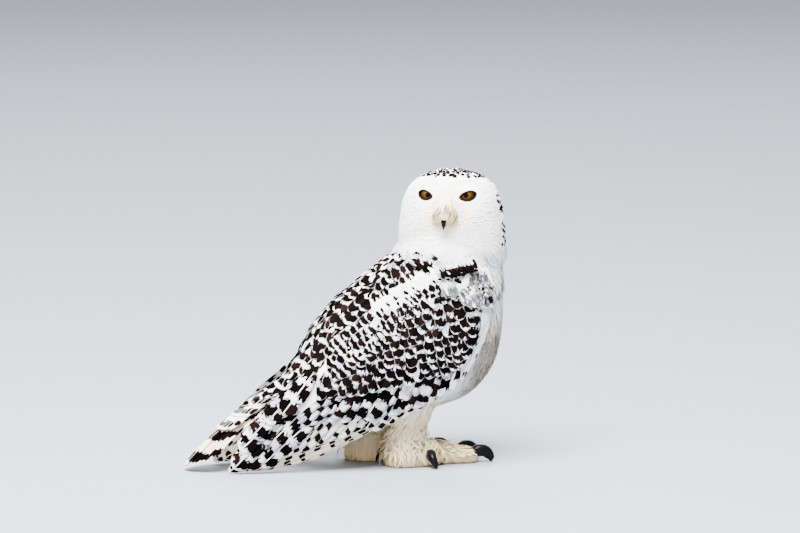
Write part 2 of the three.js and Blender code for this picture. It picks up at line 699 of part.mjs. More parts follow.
// A claw arches from inside the toe's end down to the ground.
function clawHorn(leg, toe, grow) {
  const bearing = toeBearing(leg, toe);
  const across = new THREE.Vector3(-Math.sin(bearing), Math.cos(bearing), 0);
  const lift = toe.radius * 1.22;
  const at = (reach, z) => toeEnd(leg, toe, toe.reach + reach).setZ(z);
  const path = [at(-7, lift * 0.9), at(2, lift * 1.12), at(toe.claw * 0.48, lift), at(toe.claw * 0.8, lift * 0.5), at(toe.claw * 0.88, 1)];
  return horn(path, across, 3.7 + grow, 4.6 + grow, [1, 1, 0.94, 0.8, 0.6, 0.34], 7);
}

// ---- the bird -----------------------------------------------------------------------------------------------

const FINISH = {
  white: new THREE.MeshStandardMaterial({ color: 0xf1efea, roughness: 0.95 }),
  cream: new THREE.MeshStandardMaterial({ color: 0xe9dcc0, roughness: 0.95 }),
  barred: new THREE.MeshStandardMaterial({ color: 0xb9b2aa, roughness: 0.9 }),
  horn: new THREE.MeshStandardMaterial({ color: 0x14161a, roughness: 0.35 }),
  iris: new THREE.MeshStandardMaterial({ color: 0xc07a1c, roughness: 0.1 }),
};

const bird = new THREE.Group();

function put(name, solid, material) {
  const mesh = solid.getMesh();
  const geometry = new THREE.BufferGeometry();
  geometry.setAttribute("position", new THREE.BufferAttribute(new Float32Array(mesh.vertProperties), 3));
  geometry.setIndex(new THREE.BufferAttribute(new Uint32Array(mesh.triVerts), 1));
  const node = new THREE.Mesh(geometry, material);
  node.name = name;
  bird.add(node);
}

const trunk = trunkSolid(0);
const trunkGrown = trunkSolid(GAP);
const head = headSolid(0);
const headGrown = headSolid(GAP);
const whole = trunk.add(head);
const neckAndHead = beside(whole, NECK_BOTTOM, true);

let skull = beside(neckAndHead, NECK_TOP, true);
for (const side of [-1, 1]) skull = skull.subtract(eyeOpening(side)).add(lidRim(side)).subtract(eyeball(side, GAP));
put("head", largest(skull), FINISH.white);
put("neck", largest(beside(neckAndHead, NECK_TOP, false)), FINISH.white);
put("torso", largest(beside(whole, NECK_BOTTOM, false)), FINISH.white);
put("eye_right", eyeball(-1, 0), FINISH.iris);
put("eye_left", eyeball(1, 0), FINISH.iris);
const upperBill = billUpper(headGrown);
put("bill_upper", upperBill, FINISH.horn);
put("bill_lower", billLower(headGrown, upperBill), FINISH.horn);
const clearOfTrunk = (wing) => largest(above(wing.subtract(trunkGrown), GROUND));
const nearWing = rightWing();
put("wing_right", clearOfTrunk(nearWing), FINISH.barred);
put("wing_left", clearOfTrunk(leftWing(nearWing)), FINISH.barred);
put("tail", tailSolid(trunkGrown), FINISH.barred);
for (const [name, leg] of Object.entries(LEGS)) {
  const foot = footSolid(leg, 0);
  const footGrown = footSolid(leg, GAP);
  const clearance = footGrown.add(clawHorn(leg, TOES[0], 2 * GAP));
  put(`leg_${name}`, legSolid(leg, clearance, trunkGrown), FINISH.cream);
  put(`foot_${name}`, foot, FINISH.cream);
  for (const toe of TOES) {
    const claw = largest(above(clawHorn(leg, toe, 0).subtract(footGrown), GROUND));
    put(`claw_${name}_${toe.name}`, claw, FINISH.horn);
  }
}

export default bird;
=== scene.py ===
"""The looks of a snowy owl at rest: one skin, coats of feathers laid over it, wings and tail feather by
feather.

Every length in this file is in millimetres until a mesh is made. X points the way the body faces, Y to its
left and Z up, and the ground is Z = 0.
"""
import math

import bpy
import numpy as np
from bpy.props import FloatProperty, FloatVectorProperty, IntProperty, PointerProperty
from mathutils import Matrix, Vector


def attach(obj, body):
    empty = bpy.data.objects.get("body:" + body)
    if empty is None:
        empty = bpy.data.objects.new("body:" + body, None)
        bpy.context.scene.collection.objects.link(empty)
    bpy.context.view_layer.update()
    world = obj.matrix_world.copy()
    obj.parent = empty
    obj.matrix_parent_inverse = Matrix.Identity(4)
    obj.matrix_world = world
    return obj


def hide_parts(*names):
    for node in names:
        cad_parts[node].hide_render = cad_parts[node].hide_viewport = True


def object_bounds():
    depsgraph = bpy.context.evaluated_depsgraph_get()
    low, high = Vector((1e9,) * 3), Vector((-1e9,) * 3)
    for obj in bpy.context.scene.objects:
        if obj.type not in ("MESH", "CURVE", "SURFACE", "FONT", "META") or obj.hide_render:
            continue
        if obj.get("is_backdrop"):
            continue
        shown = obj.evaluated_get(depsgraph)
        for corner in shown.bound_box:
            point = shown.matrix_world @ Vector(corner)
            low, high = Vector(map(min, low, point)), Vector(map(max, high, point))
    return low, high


bl_info = {
    "name": "Snowy Owl",
    "version": (1, 0, 0),
    "blender": (4, 5, 0),
    "location": "3D View > Sidebar > Owl",
    "description": "Dresses a life-size snowy owl in skin, down and barred feathers",
    "category": "Add Mesh",
}

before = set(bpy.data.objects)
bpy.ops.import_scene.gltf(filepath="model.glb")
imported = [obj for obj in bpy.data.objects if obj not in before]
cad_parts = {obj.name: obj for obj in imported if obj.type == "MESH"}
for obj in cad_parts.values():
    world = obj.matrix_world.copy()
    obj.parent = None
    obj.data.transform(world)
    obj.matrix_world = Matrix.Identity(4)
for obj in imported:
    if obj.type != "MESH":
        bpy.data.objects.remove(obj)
CAD_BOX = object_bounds()
MM = 0.001

# ---- the bird's own sizes -------------------------------------------------------------------------------

# Trunk: back x, back z, underside x, underside z and half width, from the rump to the throat.
TRUNK = [
    (-150, 88, -130, 68, 10),
    (-126, 106, -96, 78, 27),
    (-100, 122, -62, 66, 42),
    (-75, 146, -12, 50, 60),
    (-54, 180, 40, 48, 74),
    (-37, 208, 88, 60, 85),
    (-12, 236, 132, 80, 92),
    (22, 262, 178, 96, 94),
    (48, 284, 212, 132, 92),
    (64, 296, 226, 178, 88),
    (76, 309, 229, 224, 83),
    (84, 322, 228, 264, 77),
    (91, 336, 222, 296, 67),
    (102, 346, 205, 322, 50),
]
TRUNK_SQUARENESS = 2.3

# Head: height, half width, reach to the face and reach to the nape.
HEAD_RINGS = [
    (288, 74, 60, 70),
    (306, 77, 62, 72),
    (324, 76.5, 62, 71),
    (340, 75.5, 61, 70),
    (360, 73, 59, 69.5),
    (372, 71, 56.5, 68),
    (389, 64.5, 51, 63),
    (402, 54, 42.5, 54),
    (411.5, 41, 32, 42),
    (418, 24, 19, 26),
    (421.5, 6, 5, 7),
]
HEAD_AT = (157, -3)
HEAD_TURN = math.radians(-114)
HEAD_SQUARENESS = 2.25
EYE = {"radius": 11.5, "ahead": 34.5, "aside": 27.0, "z": 387.8, "splay": math.radians(27)}
EYE_GAZE = {"right": (-0.425, -0.9, 0.0), "left": (-0.36, -0.9, 0.07)}
# Distances from the gaze's axis between which the iris darkens, its rim begins and the pupil ends.
IRIS = {"fibres": (3.0, 10.5), "rim": (10.8, 12.2), "pupil": (3.5, 4.1)}
EYE_PIT = {"deep": 6.0, "reach": 15.0, "rim": 5.5}
LID = {"long": {-1: 11.0, 1: 12.2}, "high": 6, "slant": math.radians(14)}
MOUND = {"z": 362, "rise": 15, "wide": 13.5, "high": 15}
BILL = {"base": 367, "tip": 342, "ahead": 58, "reach": 19, "wide": 5.4, "deep": 6.5}

LEGS = {
    "right": {"side": -1, "pad": (122, -34), "knee": (88, -40, 104)},
    "left": {"side": 1, "pad": (80, 34), "knee": (52, 40, 92)},
}
SHANK = {"back": 40, "long": 27, "wide": 23, "ankle": 42, "flare": 0.3}
# Toes: bearing from straight ahead (outward positive), reach to the root of the claw, radius and claw.
TOES = {
    "hallux": (-138, 34, 10.5, 24),
    "inner": (-20, 52, 12.5, 29),
    "middle": (4, 64, 12.5, 30),
    "outer": (112, 30, 12.5, 28),
}

# Folded wing in side view: the axis from the wrist to the tip, its half width along it and its upper edge.
WING_FROM, WING_TO = np.array((150.0, 200.0)), np.array((-168.0, 12.0))
WING_ON_FLANK, WING_BLEND = 1.5, 7
WING_HALF_WIDTH = [
    (-0.16, 66), (-0.06, 82), (0, 90), (0.08, 96), (0.16, 99), (0.35, 94),
    (0.5, 87), (0.7, 75), (0.85, 62), (1, 50), (1.08, 45),
]
WING_TOP = [
    (-0.15, 8), (-0.1, 44), (-0.05, 74), (0.04, 80), (0.2, 79), (0.42, 76),
    (0.5, 69), (0.6, 56), (0.7, 40), (0.8, 27), (0.92, 16), (1.04, 3),
]
ARM_BOTTOM = [
    (-0.15, 2), (-0.12, -4), (-0.04, -27), (0.06, -42), (0.16, -58),
    (0.28, -62), (0.36, -48), (0.46, -26), (0.6, -8), (0.8, 12),
]
ARM_THICK = [(-60, 1.2), (-25, 1.6), (0, 2.8), (30, 4.6), (62, 7), (85, 8)]
TUCK = {"drop": 15, "from": 50, "over": 90}

TAIL_FROM, TAIL_TO = np.array((-90.0, 114.0)), np.array((-236.0, 7.0))
TAIL = {"arch": 9, "root": 15, "tip": 40, "sag": 9}

# ---- small mathematics ----------------------------------------------------------------------------------


def smooth(x):
    """Rises from 0 to 1 as x does, level at both ends: x squared times (3 - 2x)."""
    x = np.clip(x, 0, 1)
    return x * x * (3 - 2 * x)


def bell(x, width):
    """e to the power of minus (x over width) squared."""
    return np.exp(-((np.asarray(x) / width) ** 2))


def signed_power(x, power):
    """The size of x raised to a power, with the sign of x."""
    return np.sign(x) * np.abs(x) ** power


def mix(a, b, k):
    """From a at 0 to b at 1, in a straight line."""
    return a + (b - a) * k


def unit(v):
    """Each vector over its own length."""
    return v / np.maximum(np.linalg.norm(v, axis=-1, keepdims=True), 1e-9)


def stack(*parts):
    """Coordinates, spread to one size, put together as points."""
    return np.stack(np.broadcast_arrays(*parts), axis=-1)


def turns(count):
    """Angles spaced evenly round a circle, from 0."""
    return np.linspace(0, 2 * np.pi, count, endpoint=False)


def through(knots):
    """A smooth curve through (at, value) knots: Hermite cubics with the slopes of the chords, level past
    the ends."""
    at, value = np.array(knots, float).T
    up, down = np.r_[1 : len(at), len(at) - 1], np.r_[0, 0 : len(at) - 1]
    slope = (value[up] - value[down]) / (at[up] - at[down])

    def curve(x):
        x = np.clip(x, at[0], at[-1])
        i = np.clip(np.searchsorted(at, x, side="right") - 1, 0, len(at) - 2)
        span = at[i + 1] - at[i]
        k = (x - at[i]) / span
        start = (2 * k**3 - 3 * k**2 + 1) * value[i] + (k**3 - 2 * k**2 + k) * slope[i] * span
        return start + (3 * k**2 - 2 * k**3) * value[i + 1] + (k**3 - k**2) * slope[i + 1] * span

    return curve


def path_through(places):
    """One smooth curve for each coordinate of a path through places, from 0 at the first to 1 at the
    last."""
    knots = np.linspace(0, 1, len(places))
    return [through(list(zip(knots, values))) for values in np.array(places, float).T]


def in_mm(name):
    """A length of the settings in millimetres, to a thousandth."""
    return round(getattr(bpy.context.scene.owl, name) / MM, 3)


def draws(seed):
    """A stream of random numbers from a seed of its own, which the settings' seed can change."""
    return np.random.default_rng(seed + bpy.context.scene.owl.seed)


# ---- forms of the body ----------------------------------------------------------------------------------

LAST = len(TRUNK) - 1
back_x, back_z, under_x, under_z, trunk_half = (
    through([(i, row[c]) for i, row in enumerate(TRUNK)]) for c in range(5)
)


def trunk_point(s, angle, grow=0.0):
    """Superellipses stood on the lines from the underside to the back. The angle goes round from the back,
    over the left side: the middle of the line, plus (half line + grow) cos^p along it, (half width + grow)
    sin^p aside."""
    back, under = stack(back_x(s), 0, back_z(s)), stack(under_x(s), 0, under_z(s))
    up = back - under
    deep = np.linalg.norm(up, axis=-1, keepdims=True) / 2
    power = 2 / TRUNK_SQUARENESS
    rise = (deep + grow) * signed_power(np.cos(angle), power)[..., None]
    aside = (trunk_half(s) + grow) * signed_power(np.sin(angle), power)
    return (back + under) / 2 + unit(up) * rise + stack(0, aside, 0)


def trunk_place(x, z):
    """(station, share) of a place in side view: the station whose line passes through it, found by halving,
    and how far up that line it lies, -1 at the underside and 1 at the back."""
    low, high = np.zeros_like(x), np.full_like(x, LAST)

    def side(s):
        return (back_x(s) - under_x(s)) * (z - under_z(s)) - (back_z(s) - under_z(s)) * (x - under_x(s))

    for _ in range(16):
        middle = (low + high) / 2
        beyond = side(middle) > 0
        low, high = np.where(beyond, low, middle), np.where(beyond, middle, high)
    across = stack(back_x(low) - under_x(low), back_z(low) - under_z(low))
    away = stack(x - under_x(low), z - under_z(low))
    return low, 2 * (across * away).sum(-1) / (across**2).sum(-1) - 1


def trunk_half_at(x, z):
    """Half the trunk's width at a place in side view, or 0 outside its outline."""
    s, share = trunk_place(x, z)
    left = np.clip(1 - np.abs(share) ** TRUNK_SQUARENESS, 0, 1)
    return trunk_half(s) * left ** (1 / TRUNK_SQUARENESS)


head_side, head_face, head_nape = (through([(row[0], row[c]) for row in HEAD_RINGS]) for c in (1, 2, 3))
HEAD_FOOT = np.array((*HEAD_AT, 0.0))
FACEWARD = np.array((math.cos(HEAD_TURN), math.sin(HEAD_TURN), 0.0))
LEFTWARD = np.array((-FACEWARD[1], FACEWARD[0], 0.0))
UP = np.array((0.0, 0.0, 1.0))


def head_place(ahead, aside, z):
    """A point in the head's own directions: ahead towards the face, aside towards its left, and the
    height."""
    ahead, aside, z = (np.asarray(v, float)[..., None] for v in (ahead, aside, z))
    return HEAD_FOOT + FACEWARD * ahead + LEFTWARD * aside + UP * z


def face_relief(aside, z):
    """Bells added to the face: hollows at the eyes, brows, the mound at the bill and full cheeks."""
    off = np.abs(aside)
    hollow = -2.0 * bell(off - 25, 18) * bell(z - 382, 19)
    brow = 0.8 * bell(off - 27, 17) * bell(z - 402 + 0.16 * off, 7)
    mound = MOUND["rise"] * bell(aside, MOUND["wide"]) * bell(z - MOUND["z"], MOUND["high"])
    return hollow + brow + mound + 2.2 * bell(off - 34, 18) * bell(z - 350, 18)


def head_point(z, angle, grow=0.0):
    """Superellipses by height, one half reaching to the face and the other to the nape, with the face's
    relief."""
    power = 2 / HEAD_SQUARENESS
    c, s = np.cos(angle), np.sin(angle)
    reach = np.where(c > 0, head_face(z), head_nape(z)) + grow
    aside = (head_side(z) + grow) * signed_power(s, power)
    return head_place(reach * signed_power(c, power) + face_relief(aside, z) * smooth(c * 1.6), aside, z)


def face_at(aside, z, grow=0.0):
    """The face as a height over its own plane: the head's surface at a place aside and a height."""
    share = np.clip(np.abs(aside) / (head_side(z) + grow), 0, 0.98)
    ahead = (head_face(z) + grow) * (1 - share**HEAD_SQUARENESS) ** (1 / HEAD_SQUARENESS)
    return head_place(ahead + face_relief(aside, z), aside, z)


def shank_rings(leg, grow):
    """Ellipses by height from the ankle to the knee, swelling upwards."""
    z = np.linspace(2, 112, 14)[:, None]
    angle = turns(32)[None, :]
    k = np.clip(z / leg["knee"][2], 0, 1)
    x = mix(leg["pad"][0] - SHANK["back"], leg["knee"][0], k)
    y = mix(leg["pad"][1], leg["knee"][1], k)
    swell = 1 + 0.45 * smooth((z - SHANK["ankle"]) / 60) + SHANK["flare"] * smooth((44 - z) / 40)
    long, wide = SHANK["long"] * swell + grow, SHANK["wide"] * swell + grow
    return stack(x + long * np.cos(angle), y + wide * np.sin(angle), z)


def toe_heading(leg, bearing):
    """The level direction of a toe, its bearing turned outwards on either side."""
    turn = math.radians(bearing) * leg["side"]
    return np.array((math.cos(turn), math.sin(turn), 0.0))


def toe_rings(leg, toe, grow):
    """A tube from the pad to the root of the claw: circles a little fuller at each joint, sinking to the
    front."""
    bearing, reach, radius, _ = toe
    ahead = toe_heading(leg, bearing)
    aside = np.cross(UP, ahead)
    k = np.linspace(0, 1, 14)[:, None, None]
    angle = turns(20)[None, :, None]
    share = (0.84 + 0.16 * np.sin(np.pi * (0.15 + 0.85 * k)) ** 0.7) * (1 - 0.25 * smooth((k - 0.8) / 0.2))
    full = radius * share + grow
    high = mix(radius + 2, radius * 0.86, k)
    middle = np.array((*leg["pad"], 0.0)) + ahead * (reach + grow) * k + UP * high
    return middle + aside * full * np.cos(angle) + UP * full * np.sin(angle)


def ellipsoid(centre, radii):
    """A globe of latitude and longitude, stretched to three radii."""
    around, high = 24, 12
    tilt = np.linspace(0, np.pi, high + 2)[1:-1, None]
    turn = turns(around)[None, :]
    globe = stack(np.sin(tilt) * np.cos(turn), np.sin(tilt) * np.sin(turn), -np.cos(tilt))
    return np.array(centre) + globe * np.array(radii)


# ---- forms of the wings and the tail --------------------------------------------------------------------

WING_AXIS = (WING_TO - WING_FROM) / np.linalg.norm(WING_TO - WING_FROM)
WING_LENGTH = float(np.linalg.norm(WING_TO - WING_FROM))
WING_RISE = np.array((WING_AXIS[1], -WING_AXIS[0]))
wing_half, wing_top, arm_bottom, arm_thick = (
    through(k) for k in (WING_HALF_WIDTH, WING_TOP, ARM_BOTTOM, ARM_THICK)
)


def on_wing_axis(x, z):
    """Where a place in side view lies on the wing: the share of the way from the wrist to the tip, and the
    height over that line."""
    off_x, off_z = x - WING_FROM[0], z - WING_FROM[1]
    along = (off_x * WING_AXIS[0] + off_z * WING_AXIS[1]) / WING_LENGTH
    return along, off_x * WING_RISE[0] + off_z * WING_RISE[1]


def wing_base(x, z):
    """How far out the wing's lowest layer lies: its own vault, falling off with the square of the height
    over the axis, blended with the flank wherever that stands further out."""
    u, t = on_wing_axis(x, z)
    own = wing_half(u) - np.where(t > 0, 0.0047, 0.0022) * t * t
    flank = trunk_half_at(x, z) + WING_ON_FLANK
    return np.maximum(own, flank) + (WING_BLEND / 2) * np.exp(-np.abs(own - flank) / (2 * WING_BLEND))


def wing_place(x, z, height):
    """The point over (x, z) on the right wing's lowest layer, moved out square to that layer by a height."""
    reach = 10.0
    slope_x = (wing_base(x + reach, z) - wing_base(x - reach, z)) / (2 * reach)
    slope_z = (wing_base(x, z + reach) - wing_base(x, z - reach)) / (2 * reach)
    square = unit(stack(-slope_x, -1.0, -slope_z))
    return stack(x, -wing_base(x, z), z) + square * np.asarray(height)[..., None]


def tucked(points):
    """The left wing: the right one mirrored, with its upper back edge drawn down along the rump."""
    points = points * np.array((1, -1, 1))
    x, z = points[..., 0], points[..., 2]
    points[..., 2] -= TUCK["drop"] * smooth((TUCK["from"] - x) / TUCK["over"]) * smooth((z - 20) / 120)
    return points


TAIL_AXIS = np.array((TAIL_TO[0] - TAIL_FROM[0], 0, TAIL_TO[1] - TAIL_FROM[1]))
TAIL_LENGTH = float(np.linalg.norm(TAIL_AXIS))
TAIL_AXIS = TAIL_AXIS / TAIL_LENGTH
TAIL_RISE = np.array((TAIL_AXIS[2], 0, -TAIL_AXIS[0]))


def tail_place(along, aside, height):
    """A point along the tail and to its left: the axis arched by a parabola, its sides sagging by
    another."""
    k = along / TAIL_LENGTH
    bend = TAIL["arch"] * 4 * k * (1 - k) - TAIL["sag"] * (aside / TAIL["tip"]) ** 2
    start = np.array((TAIL_FROM[0], 0, TAIL_FROM[1]))
    lift = (np.asarray(height) + bend)[..., None]
    return start + TAIL_AXIS * np.asarray(along)[..., None] + TAIL_RISE * lift + stack(0, aside, 0)


# Nothing comes closer to the ground than these heights.
LEAST_HEIGHT = {"feathers": 0.5, "forms": 1.0, "skin": 0.8, "claws": 0.3}
# Shares of a vane's patch on the bake map: its upper face up to the first, its underside from the second.
OVER_TO, UNDER_FROM = 0.62, 0.7

# ---- meshes ---------------------------------------------------------------------------------------------


def rings_faces(rows, around):
    """Quads between rings of points, outward for rings that climb their axis turning to the left."""
    r, i = np.meshgrid(np.arange(rows - 1), np.arange(around), indexing="ij")
    a, b = r * around + i, r * around + (i + 1) % around
    return np.stack([a, b, b + around, a + around], -1).reshape(-1, 4)


def closed_rings(rings):
    """(points, quads, triangles) of a grid of rings, closed at both ends on a point, outward whichever way
    it was given: the sign of its volume decides the winding."""
    rows, around = rings.shape[:2]
    points = np.concatenate([rings.reshape(-1, 3), [rings[0].mean(0), rings[-1].mean(0)]])
    quads = rings_faces(rows, around)
    i, j = np.arange(around), (np.arange(around) + 1) % around
    low, top = rows * around, (rows - 1) * around
    triangles = np.concatenate([np.stack([j, i, np.full(around, low)], -1),
                                np.stack([top + i, top + j, np.full(around, low + 1)], -1)])
    split = np.concatenate([quads[:, :3], quads[:, [0, 2, 3]], triangles])
    a, b, c = (points[split[:, n]] - points.mean(0) for n in range(3))
    if (np.cross(a, b) * c).sum() < 0:
        quads, triangles = quads[:, ::-1], triangles[:, ::-1]
    return points, quads, triangles


def new_mesh(name, points, *face_sets, flat=None):
    """A mesh from points in millimetres and arrays of faces of equal corners; flat says which faces are
    flat."""
    mesh = bpy.data.meshes.new(name)
    mesh.vertices.add(len(points))
    mesh.vertices.foreach_set("co", (np.asarray(points, np.float32) * MM).ravel())
    sizes = np.concatenate([np.full(len(f), f.shape[1]) for f in face_sets])
    corners = np.concatenate([np.asarray(f).ravel() for f in face_sets])
    mesh.loops.add(len(corners))
    mesh.loops.foreach_set("vertex_index", corners.astype(np.int32))
    mesh.polygons.add(len(sizes))
    mesh.polygons.foreach_set("loop_start", (np.cumsum(sizes) - sizes).astype(np.int32))
    mesh.update(calc_edges=True)
    smooth_faces = np.ones(len(sizes), bool) if flat is None else ~flat
    mesh.polygons.foreach_set("use_smooth", smooth_faces)
    mesh.validate()
    return mesh


def tell(mesh, label, values):
    """Gives each point of a mesh three numbers, under a label that the materials read."""
    layer = mesh.attributes.new(label, "FLOAT_VECTOR", "POINT")
    layer.data.foreach_set("vector", np.ascontiguousarray(values, np.float32).ravel())


def piece(name, mesh, material, stands_for=()):
    """Puts a finished mesh in the scene as a piece that rides on the body."""
    made = bpy.data.objects.new(name, mesh)
    bpy.context.scene.collection.objects.link(made)
    mesh.materials.append(material)
    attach(made, "root")
    if stands_for:
        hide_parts(*stands_for)


def vane_faces(stations, columns):
    """Faces of one closed vane whose points are numbered station by station, left to right: its upper
    quads, the underside from edge to edge and a cap at each end."""
    left = np.arange(stations - 1) * columns
    right = left + columns - 1
    a = (left[:, None] + np.arange(columns - 1)).ravel()
    upper = np.stack([a, a + columns, a + columns + 1, a + 1], -1)
    under = np.stack([left, right, right + columns, left + columns], -1)
    end = np.arange(columns)
    return upper, under, np.array([end, (stations - 1) * columns + end[::-1]])


def grid_normals(top):
    """Upward normals of the vanes' upper faces: the change along each vane crossed with the change across
    it."""
    along = np.gradient(top, axis=1)
    across = np.gradient(top, axis=2)
    return unit(np.cross(along, across))


def vanes(name, top, facts, patch, material, stands_for=(), lie=None, soften=0.0):
    """One piece of many vanes. top is (vane, station, column, xyz) of their upper faces; facts are arrays
    of the same first three sizes that the material reads; patch gives each vane's corner and size on the
    bake map. Down scatters light as one soft surface, so soften turns its shading towards lie, the skin's
    own normals."""
    count, stations, columns = top.shape[:3]
    each = stations * columns
    upper, under, caps = vane_faces(stations, columns)
    shift = (np.arange(count) * each)[:, None, None]
    sets = [(shift + faces[None]).reshape(-1, faces.shape[1]) for faces in (upper, under, caps)]
    flat = np.concatenate([np.zeros(len(sets[0]), bool), np.ones(len(sets[1]) + len(sets[2]), bool)])
    points = top.reshape(-1, 3).copy()
    points[:, 2] = np.maximum(points[:, 2], LEAST_HEIGHT["feathers"])
    mesh = new_mesh(name, points, *sets, flat=flat)
    for label, values in facts.items():
        tell(mesh, label, values)
    column, station = np.tile(np.arange(columns), stations), np.repeat(np.arange(stations), columns)
    over = np.stack([column / (columns - 1) * OVER_TO, station / (stations - 1)], -1)
    below = np.stack([np.where(column > 0, 1.0, UNDER_FROM), station / (stations - 1)], -1)
    corner, size = patch
    lots = []
    for faces, map_ in ((upper, over), (under, below), (caps, below)):
        local = map_[faces].reshape(1, -1, 2)
        lots.append((corner[:, None, :] + local * size).reshape(-1, 2))
    layer = mesh.uv_layers.new(name="OFBake")
    layer.uv.foreach_set("vector", np.concatenate(lots).astype(np.float32).ravel())
    if soften:
        turned = unit(grid_normals(top) * (1 - soften) + lie[:, :, None, :] * soften)
        mesh.normals_split_custom_set_from_vertices(turned.reshape(-1, 3).astype(np.float32))
    piece(name, mesh, material, stands_for)


def flipped(facts):
    """The facts of mirrored vanes, whose columns run the other way."""
    return {label: values[:, :, ::-1].copy() for label, values in facts.items()}


def grid_patch(count):
    """Bake patches in a square grid of cells, one for each vane."""
    side = math.ceil(math.sqrt(count))
    cell = np.stack([np.arange(count) % side, np.arange(count) // side], -1) / side
    return cell + 0.04 / side, 0.92 / side


def tuft_patch(place):
    """Bake patches about 0.003 across, each at its root's place on an unwrap of the skin."""
    return 0.003 + 0.99 * np.clip(place, 0, 1), 0.003


# ---- laying feathers on the skin ------------------------------------------------------------------------

# Outlines of feathers: stations along the shaft, the share of the half width at each, and columns across.
TUFT = {"at": (0, 0.34, 0.7, 1), "share": (0.55, 1, 0.9, 0.1), "columns": (-1, 0, 1)}
CAP = {"at": (0, 0.3, 0.6, 0.84, 1), "share": (0.6, 0.95, 1, 0.75, 0.2), "columns": (-1, 0, 1)}
BRISTLE = {"at": (0, 0.2, 0.4, 0.6, 0.8, 1), "share": (0.6, 1, 0.95, 0.8, 0.5, 0.1), "columns": (-1, 0, 1)}
BODY = {
    "at": (0, 0.2, 0.42, 0.62, 0.78, 0.9, 0.97, 1),
    "share": (0.5, 0.8, 0.97, 1, 0.9, 0.68, 0.42, 0.14),
    "columns": (-1, -0.5, 0, 0.5, 1),
}
# How many kinds of feather a piece has: those of one kind share the chances of their markings.
KINDS = 600
# Random places for each feather before they are thinned, the least distance between two in spacings, and how
# far from the middle of its brick one may lie.
CANDIDATES, APART, OFF_MIDDLE = 9, 0.7, 0.4


def settled(points):
    """(place, normal) on the skin nearest to each point, in millimetres: a shrinkwrap of loose points finds
    the place, and a second one that stops 10 mm above it gives the smooth normal."""
    flat = points.reshape(-1, 3)
    probe_mesh = bpy.data.meshes.new("probe")
    probe_mesh.vertices.add(len(flat))
    probe_mesh.vertices.foreach_set("co", (flat * MM).astype(np.float32).ravel())
    probe = bpy.data.objects.new("probe", probe_mesh)
    bpy.context.scene.collection.objects.link(probe)
    wrap = probe.modifiers.new("wrap", "SHRINKWRAP")
    wrap.target = bpy.data.objects["skin"]
    wrap.wrap_method = "NEAREST_SURFACEPOINT"
    wrap.wrap_mode = "ABOVE_SURFACE"
    found = []
    for offset in (0.0, 0.01):
        wrap.offset = offset
        bpy.context.view_layer.update()
        seen = probe.evaluated_get(bpy.context.evaluated_depsgraph_get()).data
        values = np.empty(len(flat) * 3, np.float32)
        seen.vertices.foreach_get("co", values)
        found.append(values.reshape(-1, 3).astype(float) / MM)
    bpy.data.objects.remove(probe)
    bpy.data.meshes.remove(probe_mesh)
    return found[0].reshape(points.shape), unit(found[1] - found[0]).reshape(points.shape)


def scattered(spacing, wanted, seed, lattice=None):
    """Places spread over the skin about one spacing apart: random ones by area, thinned to one in
    each cube of space and then wherever two lie closer than 0.7 of the spacing. A lattice gives (row,
    column) of a place instead: the one nearest to the middle of each brick is kept, every other row shifted
    by half a column."""
    draw = draws(seed)
    mesh = bpy.data.objects["skin"].data
    mesh.calc_loop_triangles()
    corners = np.empty(len(mesh.loop_triangles) * 3, np.int32)
    mesh.loop_triangles.foreach_get("vertices", corners)
    co = np.empty(len(mesh.vertices) * 3, np.float32)
    mesh.vertices.foreach_get("co", co)
    a, b, c = (co.reshape(-1, 3).astype(float)[corners.reshape(-1, 3)[:, n]] / MM for n in range(3))
    normal = np.cross(b - a, c - a)
    area = np.linalg.norm(normal, axis=1) / 2
    keep = wanted((a + b + c) / 3, unit(normal))
    a, b, c, area = (v[keep] for v in (a, b, c, area))
    count = int(area.sum() / spacing**2 * CANDIDATES)
    pick = draw.choice(len(area), count, p=area / area.sum())
    u, v = draw.random((2, count, 1))
    u, v = np.where(u + v > 1, 1 - u, u), np.where(u + v > 1, 1 - v, v)
    place = a[pick] + (b - a)[pick] * u + (c - a)[pick] * v
    # A key for each cell: its indices as the digits of one number.
    side = 4096
    if lattice is not None:
        row, column = lattice(place)
        row_at = np.round(row)
        column = column + 0.5 * (row_at % 2)
        off = np.hypot(row - row_at, column - np.round(column))
        order = np.argsort(off)
        key = (row_at * side + np.round(column)).astype(np.int64)[order]
        chosen = order[np.unique(key, return_index=True)[1]]
        chosen = chosen[off[chosen] < OFF_MIDDLE]
        return place[chosen]
    cell = np.floor(place / spacing).astype(np.int64) + side // 2
    key = (cell[:, 0] * side + cell[:, 1]) * side + cell[:, 2]
    key, first = np.unique(key, return_index=True)
    place = place[first]
    rank, gone = draw.random(len(key)), np.zeros(len(key), bool)
    steps = [(i * side + j) * side + k for i in (-1, 0, 1) for j in (-1, 0, 1) for k in (-1, 0, 1)]
    for step in steps:
        if step == 0:
            continue
        other = np.clip(np.searchsorted(key, key + step), 0, len(key) - 1)
        far = np.linalg.norm(place[other] - place, axis=1)
        close = (key[other] == key + step) & (far < APART * spacing)
        gone |= close & (rank < rank[other]) & ~gone[other]
    return place[~gone]


def tangent(direction, normal):
    """The part of a direction that lies in the surface, made one long."""
    return unit(direction - normal * (direction * normal).sum(-1, keepdims=True))


